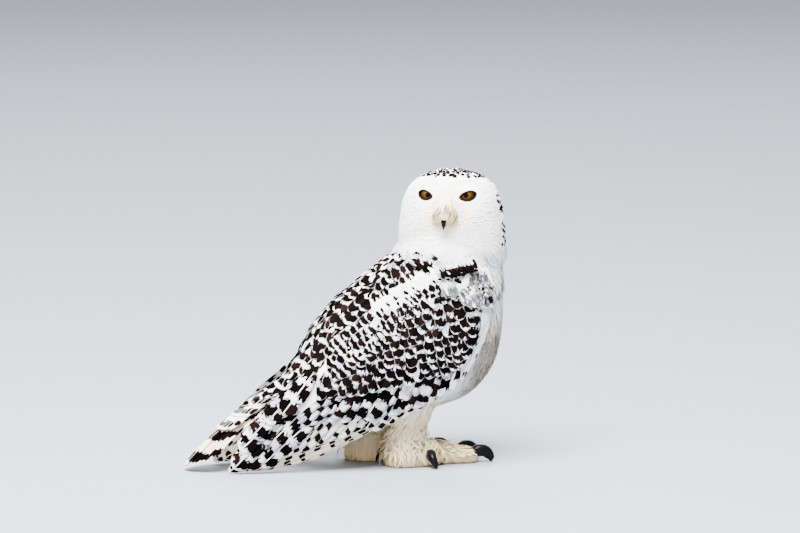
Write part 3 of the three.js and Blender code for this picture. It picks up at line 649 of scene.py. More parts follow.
def laid(roots, length, rise, wide, shape, seed, camber, roll, stray):
    """Upper faces of feathers laid on the skin, (feather, station, column, xyz): each shaft takes steps
    along the coat's lie and is set down on the skin after each, then stands off by a height that grows with
    the share of its length; columns spread aside by the half width and bulge by the camber's parabola."""
    draw = draws(seed)
    count, at = len(roots), np.array(shape["at"])
    share, columns = np.array(shape["share"]), np.array(shape["columns"])
    place, normal = settled(roots)
    turn = draw.normal(0, stray, (count, 1))
    places, normals, headings = [place], [normal], []
    for k in range(1, len(at)):
        ahead = tangent(coat_flow(place), normal)
        ahead = unit(ahead + np.cross(normal, ahead) * turn)
        headings.append(ahead)
        place, normal = settled(place + ahead * (length * (at[k] - at[k - 1]))[:, None])
        places.append(place)
        normals.append(normal)
    headings.append(headings[-1])
    place, normal, ahead = (np.stack(v, 1) for v in (places, normals, headings))
    aside = np.cross(normal, ahead)
    lean = draw.normal(0, roll, (count, 1, 1))
    up = unit(normal + aside * lean)
    aside = np.cross(up, ahead)
    low, tall = (np.broadcast_to(np.asarray(r, float), (count,))[:, None] for r in rise)
    height = (low + (tall - low) * at[None, :] ** 0.8)[..., None]
    half = (wide[:, None] / 2 * share[None, :])[..., None, None]
    bulge = camber * half * (1 - columns**2)[None, None, :, None]
    spine = place + normal * height
    spread = aside[:, :, None, :] * half * columns[None, None, :, None]
    return spine[:, :, None, :] + spread + up[:, :, None, :] * bulge, normal


def blades(spine, aside, normal, half, columns, camber):
    """Upper faces about spines: columns spread aside by the half width and bulge by the camber's parabola."""
    top = spine[:, :, None, :] + aside[:, :, None, :] * (half[:, :, None] * columns)[..., None]
    return top + normal[:, :, None, :] * (camber * half[:, :, None] * (1 - columns**2))[..., None]


def described(top, length, wide, shape, seed, mark, cream):
    """What the materials read at each point: (across, distance from the tip, half width) and (seed, mark,
    cream)."""
    draw = draws(seed + 1000)
    count, stations, columns = top.shape[:3]
    size = (count, stations, columns)
    across = np.broadcast_to(np.array(shape["columns"])[None, None, :], size)
    from_tip = np.broadcast_to((length[:, None] * (1 - np.array(shape["at"]))[None, :])[:, :, None], size)
    half = np.broadcast_to((wide / 2)[:, None, None], size)
    kind = draw.integers(1, KINDS, count) / KINDS
    quill = np.stack([np.broadcast_to(np.asarray(v)[:, None, None], size) for v in (kind, mark, cream)], -1)
    return {"vane": np.stack([across, from_tip, half], -1), "quill": quill}


# ---- which way the feathers lie, and the tints of the coat ----------------------------------------------

BILL_ROOT = head_place(56, 0, 374)
EYES = [head_place(EYE["ahead"] + 8, side * (EYE["aside"] + 4), EYE["z"]) for side in (-1, 1)]


def head_flow(p):
    """Away from the root of the bill and from each eye, and more and more downwards towards the back."""
    away = p - BILL_ROOT
    far = np.linalg.norm(away, axis=-1, keepdims=True)
    down = smooth((far - 62) / 70)
    flow = unit(away) * (1 - 0.7 * down) - UP * down * 1.05
    for eye in EYES:
        out = p - eye
        flow = flow + unit(out) * 1.5 * bell(np.linalg.norm(out, axis=-1, keepdims=True), 19)
    return flow


def trunk_flow(p):
    """From the throat to the rump: the tangents of the back's line and the underside's, shared by height."""
    s, share = trunk_place(p[..., 0], p[..., 2])
    step = 0.2
    on_back = stack(back_x(s - step) - back_x(s + step), 0, back_z(s - step) - back_z(s + step))
    on_under = stack(under_x(s - step) - under_x(s + step), 0, under_z(s - step) - under_z(s + step))
    k = np.clip((share + 1) / 2, 0, 1)[..., None]
    return unit(unit(on_under) * (1 - k) + unit(on_back) * k - UP * 0.12)


def leg_axis(leg, z):
    """The middle of a shank at a height: a straight line from the ankle to the knee."""
    k = np.clip(z / leg["knee"][2], 0, 1)
    return stack(mix(leg["pad"][0] - SHANK["back"], leg["knee"][0], k), mix(leg["pad"][1], leg["knee"][1], k))


def leg_nearness(p):
    """1 on the shanks and feet, 0 on the trunk: by the distance from the shank's axis and by height."""
    near = np.zeros(p.shape[:-1])
    for leg in LEGS.values():
        off = np.linalg.norm(p[..., :2] - leg_axis(leg, p[..., 2]), axis=-1)
        near = np.maximum(near, bell(off, 42) * smooth((88 - p[..., 2]) / 40))
    return np.maximum(near, smooth((42 - p[..., 2]) / 8))


def leg_flow(p):
    """Down the shank, and over the foot away from the ankle along the nearest toe."""
    flow = np.broadcast_to(np.array((-0.1, 0, -1.0)), p.shape).copy()
    for leg in LEGS.values():
        pad = np.array((*leg["pad"], 0.0))
        for bearing, reach, radius, _ in TOES.values():
            ahead = toe_heading(leg, bearing)
            off = p - pad
            along = (off * ahead).sum(-1)
            level = off - ahead * along[..., None]
            level[..., 2] = 0
            weight = bell(np.linalg.norm(level, axis=-1), radius) * smooth((along + 4) / 14)
            weight = weight * (along < reach + 14) * smooth((36 - p[..., 2]) / 12)
            flow = flow + ahead * (2.2 * weight)[..., None] + UP * (0.5 * weight)[..., None]
    return flow


def coat_flow(p):
    """The lie of the whole coat: the trunk's, giving way to the head's above the neck and to the legs'
    below."""
    high = smooth((p[..., 2] - 286) / 22)[..., None]
    low = leg_nearness(p)[..., None]
    flow = unit(trunk_flow(p)) * (1 - high) + unit(head_flow(p)) * high
    return unit(flow) * (1 - low) + unit(leg_flow(p)) * low


def cream_at(p):
    """How cream the coat is: most on feet, legs and under the belly, some low on the breast, where it is
    partly the feathers' own tint and partly painted shade, and at the bill."""
    x, z = p[..., 0], p[..., 2]
    legs = 0.9 * leg_nearness(p) ** 0.5 + 0.1 * smooth((34 - z) / 14)
    belly = 0.8 * smooth((122 - z) / 46)
    # Partly the breast's own cream and partly painted shade low on its front.
    breast = 0.5 * smooth((x - 158) / 40) * smooth((258 - z) / 74)
    bill = 0.9 * bell(np.linalg.norm(p - head_place(66, 0, 368), axis=-1), 24)
    return np.clip(np.maximum.reduce([legs, belly, breast, bill]), 0, 1)


# ---- materials ------------------------------------------------------------------------------------------


def linear(hex_colour):
    """An sRGB hex colour as linear red, green, blue and 1."""
    parts = [int(hex_colour[i : i + 2], 16) / 255 for i in (1, 3, 5)]
    return (*[c / 12.92 if c <= 0.04045 else ((c + 0.055) / 1.055) ** 2.4 for c in parts], 1.0)


def give(tree, node, inputs):
    """Gives each input of a node a value, or a link from a node or one of its sockets."""
    for key, value in dict(inputs).items():
        if isinstance(value, bpy.types.Node):
            value = next(out for out in value.outputs if out.enabled)
        if isinstance(value, bpy.types.NodeSocket):
            tree.links.new(value, node.inputs[key])
        else:
            node.inputs[key].default_value = value


def add(tree, kind, inputs=(), **settings):
    """Adds a node with its settings and what its inputs are given."""
    made = tree.nodes.new(kind)
    for name, value in settings.items():
        setattr(made, name, value)
    give(tree, made, inputs)
    return made


def fresh(name):
    """A new material with only its output and a principled shader, and the two of them."""
    material = bpy.data.materials.new(name)
    material.use_nodes = True
    tree = material.node_tree
    tree.nodes.clear()
    output = tree.nodes.new("ShaderNodeOutputMaterial")
    shader = tree.nodes.new("ShaderNodeBsdfPrincipled")
    tree.links.new(shader.outputs[0], output.inputs[0])
    return material, tree, shader


MATH, MIX, RAMP = "ShaderNodeMath", "ShaderNodeMix", "ShaderNodeMapRange"
# The browns of the bars: most of them, some, and the few that are worn.
DARKS = ("#060404", "#0D0807", "#1A0F0B")


def plumage(name, first, thick, spacing, chevron=0.0, margin=0.85, shaft=0.0, ragged=1.2, missing=0.0,
            spread=1.5, grey=0.2, barbs=0.25, darks=DARKS):
    """Feather keratin, matt: white with dark brown bars across each vane.

    Bars repeat at a spacing from the tip, the first of them a length from it, each as thick as chance
    gives. Chevron bends them, ragged frays them by noise drawn out along the barbs and by lumps, and spread
    shifts them from feather to feather. A bar keeps to the share of the half width that margin gives, may
    part by a length at the shaft, and may be missing on one side of it. Grey is how strong the painted shade
    on the white is: grey clouds, none at each tip, that stand for the shade where each feather lies under
    the next. Barbs is the strength of the bump and darks the three browns. Lengths are in millimetres.
    """
    settings = bpy.context.scene.owl
    material, tree, shader = fresh(name)
    vane = add(tree, "ShaderNodeAttribute", attribute_name="vane").outputs[1]
    across, from_tip, half = add(tree, "ShaderNodeSeparateXYZ", {0: vane}).outputs
    quill = add(tree, "ShaderNodeAttribute", attribute_name="quill").outputs[1]
    seed, mark, cream = add(tree, "ShaderNodeSeparateXYZ", {0: quill}).outputs
    own = add(tree, MATH, {0: seed, 1: float(KINDS)}, operation="MULTIPLY")
    own = add(tree, MATH, {0: own}, operation="ROUND")
    each = add(tree, "ShaderNodeTexWhiteNoise", {"W": own}, noise_dimensions="1D").outputs["Color"]
    each = add(tree, "ShaderNodeSeparateXYZ", {0: each}).outputs
    side = add(tree, MATH, {0: across, 1: half}, operation="MULTIPLY")
    off = add(tree, MATH, {0: across}, operation="ABSOLUTE")
    flat = add(tree, "ShaderNodeCombineXYZ", {0: side, 1: from_tip, 2: own})
    drawn = add(tree, "ShaderNodeVectorMath", {0: flat, 1: (0.62, 0.11, 1.0)}, operation="MULTIPLY")
    streak = add(tree, "ShaderNodeTexNoise", {"Vector": drawn, "Scale": 1.0, "Detail": 1.5})
    lump = add(tree, "ShaderNodeTexNoise", {"Vector": flat, "Scale": 0.17, "Detail": 1.0})
    rough = add(tree, MATH, {0: streak, 1: lump}, operation="ADD")
    rough = add(tree, MATH, {0: rough, 1: 5 * ragged, 2: -5 * ragged}, operation="MULTIPLY_ADD")
    lean = add(tree, RAMP, {0: each[0], 3: -0.7 * chevron, 4: 1.7 * chevron})
    bent = add(tree, MATH, {0: off, 1: lean, 2: from_tip}, operation="MULTIPLY_ADD")
    bent = add(tree, MATH, {0: bent, 1: rough}, operation="ADD")
    shift = add(tree, RAMP, {0: each[1], 3: -spread - first, 4: spread - first})
    bent = add(tree, MATH, {0: bent, 1: shift}, operation="ADD")
    phase = add(tree, MATH, {0: bent, 1: spacing}, operation="DIVIDE")
    number = add(tree, MATH, {0: phase}, operation="FLOOR")
    half_side = add(tree, MATH, {0: across}, operation="SIGN")
    key = add(tree, "ShaderNodeCombineXYZ", {0: number, 1: own, 2: half_side})
    lots = add(tree, "ShaderNodeTexWhiteNoise", {"Vector": key}, noise_dimensions="3D").outputs["Color"]
    lots = add(tree, "ShaderNodeSeparateXYZ", {0: lots}).outputs
    within = add(tree, MATH, {0: phase}, operation="FRACT")
    within = add(tree, MATH, {0: within, 1: spacing, 2: -thick / 2}, operation="MULTIPLY_ADD")
    within = add(tree, MATH, {0: within}, operation="ABSOLUTE")
    reach = add(tree, RAMP, {0: lots[0], 3: thick * 0.32, 4: thick * 0.6})
    inside = add(tree, MATH, {0: reach, 1: within}, operation="SUBTRACT")
    rest = add(tree, MATH, {0: margin, 1: off}, operation="SUBTRACT")
    rest = add(tree, MATH, {0: rest, 1: half}, operation="MULTIPLY")
    rest = add(tree, MATH, {0: streak, 1: 4.0, 2: rest}, operation="MULTIPLY_ADD")
    rest = add(tree, MATH, {0: rest, 1: 2.0}, operation="SUBTRACT")
    # The smooth minimum of the two distances rounds the corners of a blotch.
    inner = add(tree, MATH, {0: inside, 1: rest, 2: 0.32 * thick}, operation="SMOOTH_MIN")
    bar = add(tree, RAMP, {0: inner, 1: -0.3, 2: 0.3}, interpolation_type="SMOOTHSTEP")
    from_shaft = add(tree, MATH, {0: side}, operation="ABSOLUTE")
    kept = add(tree, MATH, {0: lots[1], 1: missing}, operation="GREATER_THAN")
    begun = add(tree, MATH, {0: phase, 1: 0.0}, operation="GREATER_THAN")
    factors = [kept, begun, mark]
    if shaft:
        factors.append(add(tree, RAMP, {0: from_shaft, 1: shaft, 2: shaft + 0.3}))
    blotch = bar
    for factor in factors:
        blotch = add(tree, MATH, {0: blotch, 1: factor}, operation="MULTIPLY")
    # Painted shade: grey clouds over the white, none in the last millimetre of each tip and full from 6 mm
    # behind it, where the feather lies under the next.
    place = add(tree, "ShaderNodeTexCoord").outputs["Object"]
    cloud = add(tree, "ShaderNodeTexNoise", {"Vector": place, "Scale": 42.0, "Detail": 2.0})
    clouded = add(tree, RAMP, {0: cloud, 1: 0.38, 2: 0.62, 3: 0.35 * grey, 4: grey},
                  interpolation_type="SMOOTHSTEP")
    behind = add(tree, RAMP, {0: from_tip, 1: 1.0, 2: 6.0})
    painted_shade = add(tree, MATH, {0: clouded, 1: behind}, operation="MULTIPLY")
    white = add(tree, MIX, {0: painted_shade, 6: tuple(settings.white), 7: tuple(settings.grey)}, data_type="RGBA")
    pale = add(tree, MIX, {0: cream, 6: white, 7: tuple(settings.cream)}, data_type="RGBA")
    browned = add(tree, RAMP, {0: lots[2], 1: 0.3, 2: 0.75})
    dark = add(tree, MIX, {0: browned, 6: linear(darks[0]), 7: linear(darks[1])}, data_type="RGBA")
    worn = add(tree, RAMP, {0: lots[2], 1: 0.84, 2: 1.0})
    dark = add(tree, MIX, {0: worn, 6: dark, 7: linear(darks[2])}, data_type="RGBA")
    colour = add(tree, MIX, {0: blotch, 6: pale, 7: dark}, data_type="RGBA")
    # Barbs run out from the shaft towards the tip; real ones are a third of a millimetre apart, these wider.
    slope = add(tree, MATH, {0: from_shaft, 1: 0.8, 2: from_tip}, operation="MULTIPLY_ADD")
    wave = add(tree, MATH, {0: slope, 1: 2 * math.pi / 1.4}, operation="MULTIPLY")
    wave = add(tree, MATH, {0: wave}, operation="SINE")
    height = add(tree, MATH, {0: wave, 1: 0.4, 2: streak}, operation="MULTIPLY_ADD")
    bump = add(tree, "ShaderNodeBump", {"Strength": barbs, "Distance": 0.0005, "Height": height})
    give(tree, shader, {"Base Color": colour, "Normal": bump, "Roughness": 0.9, "Specular IOR Level": 0.0})
    return material


def horn_material(name, colour, roughness):
    """Claw and bill keratin: near black, polished by use, with fine growth lines along it that blur its
    gloss."""
    material, tree, shader = fresh(name)
    place = add(tree, "ShaderNodeTexCoord").outputs["Object"]
    noise = add(tree, "ShaderNodeTexNoise", {"Vector": place, "Scale": 210.0, "Detail": 3.0}).outputs["Fac"]
    tint = add(tree, MIX, {0: noise, 6: linear(colour), 7: linear("#0B0B0D")}, data_type="RGBA")
    rough = add(tree, RAMP, {0: noise, 3: roughness - 0.08, 4: roughness + 0.14}).outputs[0]
    bump = add(tree, "ShaderNodeBump", {"Strength": 0.12, "Distance": 0.0004, "Height": noise})
    give(tree, shader, {"Base Color": tint, "Normal": bump, "Roughness": rough, "Specular IOR Level": 0.05})
    give(tree, shader, {"Coat Weight": 0.04, "Coat Roughness": 0.12})
    return material


def eye_material(name, centre, gaze):
    """The eye under a wet cornea: an amber iris of fine radial fibres, darker at its rim, round a black
    pupil.

    The pattern reads how far a point lies off the gaze's axis, as a length across the eye."""
    settings = bpy.context.scene.owl
    material, tree, shader = fresh(name)
    place = add(tree, "ShaderNodeTexCoord").outputs["Object"]
    middle = tuple(c * MM for c in centre)
    out = add(tree, "ShaderNodeVectorMath", {0: place, 1: middle}, operation="SUBTRACT")
    cross = add(tree, "ShaderNodeVectorMath", {0: out.outputs[0], 1: tuple(gaze)}, operation="CROSS_PRODUCT")
    far = add(tree, "ShaderNodeVectorMath", {0: cross.outputs[0]}, operation="LENGTH").outputs["Value"]
    scaled = add(tree, "ShaderNodeVectorMath", {0: cross.outputs[0]}, operation="NORMALIZE").outputs[0]
    fibres = add(tree, "ShaderNodeTexNoise", {"Vector": scaled, "Scale": 9.0, "Detail": 4.0}).outputs["Fac"]
    bounds = {part: {0: far, 1: low * MM, 2: high * MM} for part, (low, high) in IRIS.items()}
    ring = add(tree, RAMP, bounds["fibres"])
    tone = add(tree, MATH, {0: ring, 1: fibres}, operation="ADD")
    share = add(tree, RAMP, {0: tone, 1: 0.35, 2: 1.35})
    iris = add(tree, MIX, {0: share, 6: tuple(settings.iris), 7: linear("#38200A")}, data_type="RGBA")
    rim = add(tree, RAMP, bounds["rim"], interpolation_type="SMOOTHSTEP")
    whole = add(tree, MIX, {0: rim, 6: iris, 7: linear("#120C08")}, data_type="RGBA")
    hole = add(tree, RAMP, bounds["pupil"], interpolation_type="SMOOTHSTEP")
    colour = add(tree, MIX, {0: hole, 6: linear("#050404"), 7: whole}, data_type="RGBA")
    give(tree, shader, {"Base Color": colour, "Roughness": 0.5, "Specular IOR Level": 0.02})
    give(tree, shader, {"Coat Weight": 0.03, "Coat Roughness": 0.03})
    return material


def skin_material():
    """Bare skin and the roots of the down: pale and matt, mottled as the coat over it, cream where that
    is."""
    settings = bpy.context.scene.owl
    material, tree, shader = fresh("down_roots")
    quill = add(tree, "ShaderNodeAttribute", attribute_name="quill").outputs[1]
    _, mark, cream = add(tree, "ShaderNodeSeparateXYZ", {0: quill}).outputs
    place = add(tree, "ShaderNodeTexCoord").outputs["Object"]
    noise = add(tree, "ShaderNodeTexNoise", {"Vector": place, "Scale": 90.0, "Detail": 3.0}).outputs["Fac"]
    pale = add(tree, MIX, {0: cream, 6: tuple(settings.white), 7: tuple(settings.cream)}, data_type="RGBA")
    spot = add(tree, RAMP, {0: noise, 1: 0.5, 2: 0.56}, interpolation_type="SMOOTHSTEP")
    factor = add(tree, MATH, {0: spot, 1: mark}, operation="MULTIPLY")
    colour = add(tree, MIX, {0: factor, 6: pale, 7: linear("#2B1A15")}, data_type="RGBA")
    bump = add(tree, "ShaderNodeBump", {"Strength": 0.4, "Distance": 0.001, "Height": noise})
    give(tree, shader, {"Base Color": colour, "Normal": bump, "Roughness": 0.95})
    return material


# ---- pieces ---------------------------------------------------------------------------------------------


def mantle_share(p):
    """1 on the back and rump where the feathers are blotched, 0 on the breast, flanks and neck."""
    s, share = trunk_place(p[..., 0], p[..., 2])
    high = smooth((309 - p[..., 2]) / 6) * smooth((106 - p[..., 0]) / 14)
    return smooth((share + 0.05) / 0.3) * high * (s > 0.2)


def joined_forms():
    """Trunk, head, shanks, pads and toes, each inside its outline by the depth of its coat, joined by a voxel
    remesh and relaxed, so that one closed skin runs from the crown to the toes."""
    turn = turns(72)[None, :]
    stations = np.linspace(0, LAST, 60)[:, None]
    parts = [closed_rings(trunk_point(stations, turn, -in_mm("trunk_coat")))]
    heights = np.concatenate([np.linspace(290, 400, 56), np.linspace(402, 419.5, 14)])[:, None]
    even = turn - 0.42 * np.sin(turn)
    rings = head_point(heights, even, -in_mm("head_coat"))
    rings[..., 2] -= in_mm("head_coat") * smooth((rings[..., 2] - 395) / 24)
    parts.append(closed_rings(rings))
    for leg in LEGS.values():
        parts.append(closed_rings(shank_rings(leg, -in_mm("leg_coat"))))
        parts.append(closed_rings(ellipsoid((leg["pad"][0] - 10, leg["pad"][1], 14), (29, 19, 21))))
        parts += [closed_rings(toe_rings(leg, toe, -in_mm("toe_coat"))) for toe in TOES.values()]
    starts = np.cumsum([0] + [len(points) for points, _, _ in parts])
    points = np.concatenate([part[0] for part in parts])
    quads = np.concatenate([part[1] + start for part, start in zip(parts, starts)])
    triangles = np.concatenate([part[2] + start for part, start in zip(parts, starts)])
    points[:, 2] = np.maximum(points[:, 2], LEAST_HEIGHT["forms"])
    forms = bpy.data.objects.new("forms", new_mesh("forms", points, quads, triangles))
    bpy.context.scene.collection.objects.link(forms)
    remesh = forms.modifiers.new("remesh", "REMESH")
    remesh.mode = "VOXEL"
    remesh.voxel_size = bpy.context.scene.owl.skin_mesh
    relax = forms.modifiers.new("relax", "SMOOTH")
    relax.factor, relax.iterations = 0.5, 9
    bpy.context.view_layer.update()
    mesh = bpy.data.meshes.new_from_object(forms.evaluated_get(bpy.context.evaluated_depsgraph_get()))
    bpy.data.objects.remove(forms)
    mesh.name = "skin"
    return mesh


def make_skin():
    """The joined forms, sunk behind each eye by an S-curve of the distance from its axis, with the tints that
    the material reads."""
    mesh = joined_forms()
    co = np.empty(len(mesh.vertices) * 3, np.float32)
    mesh.vertices.foreach_get("co", co)
    co = co.reshape(-1, 3)
    co[:, 2] = np.maximum(co[:, 2], LEAST_HEIGHT["skin"] * MM)
    for side in (-1, 1):
        centre, axis, across = eye_frame(side)
        off = co / MM - centre
        beside = np.hypot(off @ across, off[:, 2] * 1.25)
        sunk = EYE_PIT["deep"] * smooth((EYE_PIT["reach"] - beside) / EYE_PIT["rim"]) * (off @ axis > -6)
        co -= (axis * sunk[:, None] * MM).astype(np.float32)
    mesh.vertices.foreach_set("co", co.ravel())
    mesh.polygons.foreach_set("use_smooth", np.ones(len(mesh.polygons), bool))
    mesh.update()
    p = co.astype(float) / MM
    tell(mesh, "quill", np.stack([np.zeros(len(p)), 0.7 * mantle_share(p), cream_at(p)], -1))
    flesh = ["head", "neck", "torso", "leg_right", "leg_left", "foot_right", "foot_left"]
    piece("skin", mesh, skin_material(), flesh)


def lid_outline(side, angle):
    """The almond of the open eye: an ellipse flattened at its corners and slanted, the outer corner
    raised."""
    c, s = math.cos(LID["slant"]), math.sin(LID["slant"])
    x = LID["long"][side] * np.cos(angle) - (LID["long"][side] - 11)
    z = LID["high"] * np.sin(angle) * (1 - 0.25 * np.cos(angle) ** 4)
    return x * c - z * s, x * s + z * c


def eye_frame(side):
    """(centre, axis outward, direction to the outer corner) of one eye."""
    centre = head_place(EYE["ahead"], side * EYE["aside"], EYE["z"])
    axis = FACEWARD * math.cos(EYE["splay"]) + LEFTWARD * side * math.sin(EYE["splay"])
    return centre, axis, np.array((-axis[1], axis[0], 0.0)) * side


def lid_point(side, angle, out, lift=0.0):
    """The ground round an eye, a length out from the almond: whichever stands further along the eye's axis,
    the eyeball or the face, the two blended; both are read as depths over the plane of the eye."""
    centre, axis, across = eye_frame(side)
    x, z = lid_outline(side, angle)
    spread = 1 + out / np.hypot(x, z)
    x, z = x * spread, z * spread
    over = EYE["radius"] + 0.9
    ball = np.sqrt(np.maximum(over**2 - 0.8 * x * x - 0.9 * z * z, 0))
    deep = np.full(np.broadcast(x, z).shape, 9.0)
    for _ in range(3):
        place = centre + axis * deep[..., None] + across * x[..., None] + UP * z[..., None]
        aside = (place - HEAD_FOOT) @ LEFTWARD
        deep = (face_at(aside, place[..., 2], -1.8) - centre) @ axis - 1.7 * smooth((out - 4) / 9)
    deep = np.maximum(deep, ball) + 1.2 * np.exp(-np.abs(deep - ball) / 2.4)
    return centre + axis * (deep + lift)[..., None] + across * x[..., None] + UP * z[..., None]


def inside_lids(p, grow):
    """Whether a point lies in front of an eye, within the almond grown by a length."""
    found = np.zeros(p.shape[:-1], bool)
    for side in (-1, 1):
        centre, axis, across = eye_frame(side)
        off = p - centre
        x, z = off @ across, off[..., 2]
        c, s = math.cos(LID["slant"]), math.sin(LID["slant"])
        x, z = x * c + z * s, z * c - x * s
        almond = (x / (LID["long"][side] + grow)) ** 2 + (z / (LID["high"] + grow)) ** 2
        found |= (almond < 1) & (off @ axis > -6)
    return found


def bare_skin_material():
    """The rim of the lids: thin black skin, slightly wet."""
    material, tree, shader = fresh("lid_skin")
    place = add(tree, "ShaderNodeTexCoord").outputs["Object"]
    noise = add(tree, "ShaderNodeTexNoise", {"Vector": place, "Scale": 900.0, "Detail": 2.0}).outputs["Fac"]
    vane = add(tree, "ShaderNodeAttribute", attribute_name="vane").outputs[1]
    out = add(tree, "ShaderNodeSeparateXYZ", {0: vane}).outputs[0]
    edge = add(tree, RAMP, {0: out, 1: 1.3, 2: 2.0}, interpolation_type="SMOOTHSTEP")
    colour = add(tree, MIX, {0: edge, 6: linear("#0A0706"), 7: linear("#CFC9BF")}, data_type="RGBA")
    bump = add(tree, "ShaderNodeBump", {"Strength": 0.2, "Distance": 0.0003, "Height": noise})
    give(tree, shader, {"Base Color": colour, "Normal": bump, "Roughness": 0.6, "Specular IOR Level": 0.05})
    return material


def make_eyeball(side, name):
    """An eyeball: circles round the gaze, its radius swelled by a bell over the pupil, as the cornea
    bulges."""
    centre = eye_frame(side)[0]
    gaze = unit(np.array(EYE_GAZE[name]))
    tilt = np.linspace(0.02, np.pi - 0.02, 40)[:, None]
    turn = turns(56)[None, :]
    one = unit(np.cross(gaze, UP))
    two = np.cross(one, gaze)
    swell = EYE["radius"] * (1 + 0.035 * bell(tilt, 0.75))
    rings = centre + swell[..., None] * (
        gaze * np.cos(tilt)[..., None]
        + one * (np.sin(tilt) * np.cos(turn))[..., None]
        + two * (np.sin(tilt) * np.sin(turn))[..., None]
    )
    mesh = new_mesh(f"eyeball_{name}", *closed_rings(rings))
    piece(f"eyeball_{name}", mesh, eye_material(f"wet_iris_{name}", centre, gaze), [f"eye_{name}"])


def make_lids(side, name, material):
    """A ring of lid: rows ever further out from the almond, raised to a rolled rim and then sinking under
    the down by an S-curve, closed by the same rows moved back along the eye's axis."""
    around = 72
    axis = eye_frame(side)[1]
    angle = turns(around)[None, :]
    out = np.concatenate([[-0.9, -0.9, -0.5, 0, 0.6, 1.2], np.linspace(2, 12, 10)])[:, None]
    sinking = -0.4 - 4.2 * smooth(np.linspace(-0.2, 1, 10))
    lift = np.concatenate([[-7, -2.4, -0.5, 0.35, 0.5, 0.1], sinking])[:, None]
    front = lid_point(side, angle + 0 * out, out + 0 * angle, lift + 0 * angle)
    ring = np.concatenate([front, front[::-1] - axis * 1.5])
    rows = len(ring)
    here, there = np.arange(around), (np.arange(around) + 1) % around
    last = (rows - 1) * around
    seam = np.stack([last + here, last + there, there, here], -1)
    quads = np.concatenate([rings_faces(rows, around), seam])
    if side > 0:
        quads = quads[:, ::-1]
    mesh = new_mesh(f"lids_{name}", ring.reshape(-1, 3), quads)
    values = np.zeros((rows, around, 3))
    values[..., 0] = np.concatenate([out[:, 0], out[::-1, 0]])[:, None]
    tell(mesh, "vane", values)
    piece(f"lids_{name}", mesh, material)


def make_eyes():
    """Both eyeballs, and the lids round each."""
    lid_skin = bare_skin_material()
    for side, name in ((-1, "right"), (1, "left")):
        make_eyeball(side, name)
        make_lids(side, name, lid_skin)


def make_lid_down():
    """The shortest feathers of all, ring after ring round each eye, pointing away from it over the lids."""
    down = bpy.data.materials["white_down"]
    draw = draws(27)
    for side, name in ((-1, "right"), (1, "left")):
        rows = []
        for out in np.arange(1.5, 10.0, 0.8):
            count = int(62 + 5.2 * out)
            turn = turns(count) + draw.normal(0, 0.03, count)
            root = out + draw.normal(0, 0.25, count)
            length = 3.4 + 0.32 * out + draw.normal(0, 0.4, count)
            rows.append(np.stack([turn, root, length], -1))
        turn, out, length = np.concatenate(rows).T
        at, share, columns = (np.array(TUFT[n]) for n in ("at", "share", "columns"))
        reach = out[:, None] + length[:, None] * at
        rise = 0.05 + (0.4 + 0.05 * out)[:, None] * at
        rise = rise - 0.5 - 2.2 * smooth((reach - 7.5) / 8)
        spine = lid_point(side, turn[:, None] + 0 * reach, reach, rise)
        near = lid_point(side, turn[:, None] + 0.02 + 0 * reach, reach, rise)
        ahead = unit(np.gradient(spine, axis=1))
        normal = unit(np.cross(ahead, unit(near - spine)))
        normal = normal * np.sign(normal @ eye_frame(side)[1])[..., None]
        aside = np.cross(normal, ahead)
        half = (0.75 + 0.03 * out)[:, None] * share
        top = blades(spine, aside, normal, half, columns, 0.2)
        facts = described(top, length, half.max(1) * 2, TUFT, 28, np.zeros(len(top)), cream_at(spine[:, 0]))
        vanes(f"lid_down_{name}", top, facts, tuft_patch(head_unwrap(spine[:, 0])), down,
              lie=normal, soften=0.75)


def head_unwrap(p):
    """Place on the head's unwrap: the turn round its upright axis and the height."""
    off = p - HEAD_FOOT
    turn = np.arctan2(off @ LEFTWARD, -(off @ FACEWARD))
    return np.stack([turn / (2 * np.pi) + 0.5, (p[..., 2] - 250) / 180], -1)


def trunk_unwrap(p):
    """Place on the trunk's unwrap: the turn round its middle and the station along it."""
    s, share = trunk_place(p[..., 0], p[..., 2])
    half = np.maximum(trunk_half(s), 1)
    turn = np.arctan2(p[..., 1] / half, share)
    return np.stack([turn / (2 * np.pi) + 0.5, s / LAST], -1)


def foot_unwrap(p):
    """Place on the unwrap of a leg and foot: how far from the ankle over the ground, laid out round it."""
    low, high = np.array((-20, -110)), np.array((200, 110))
    flat = (p[..., :2] - low) / (high - low)
    return np.stack([flat[..., 0], flat[..., 1] * 0.5 + 0.5 * (p[..., 2] > 26)], -1)


def make_coat(name, spacing, wanted, seed, size, rise, shape, material, unwrap, mark=0.0,
              slot="white_feather", camber=0.16, roll=0.06, stray=0.12, soften=0.6, lattice=None):
    """Scatters roots one spacing apart where wanted, sizes, lifts and marks each feather by its place or all
    alike, and lays them."""
    roots = scattered(spacing, wanted, seed, lattice)
    draw = draws(seed + 500)
    length, wide = size(roots) if callable(size) else (np.full(len(roots), v) for v in size)
    vary = draw.uniform(0.85, 1.15, len(roots)) if lattice is None else draw.uniform(0.96, 1.04, len(roots))
    length, wide = length * vary, wide * np.sqrt(vary)
    lift = rise(roots) if callable(rise) else rise
    top, lie = laid(roots, length, lift, wide, shape, seed, camber, roll, stray)
    marks = mark(roots, draw) if callable(mark) else np.full(len(roots), mark)
    facts = described(top, length, wide, shape, seed, marks, cream_at(roots))
    vanes(name, top, facts, tuft_patch(unwrap(roots)), material, lie=lie, soften=soften)


trunk_line = np.array([(mix(row[2], row[0], 0.8), mix(row[3], row[1], 0.8)) for row in TRUNK])
trunk_run = through(list(enumerate(np.r_[0, np.cumsum(np.linalg.norm(np.diff(trunk_line, axis=0), axis=1))])))


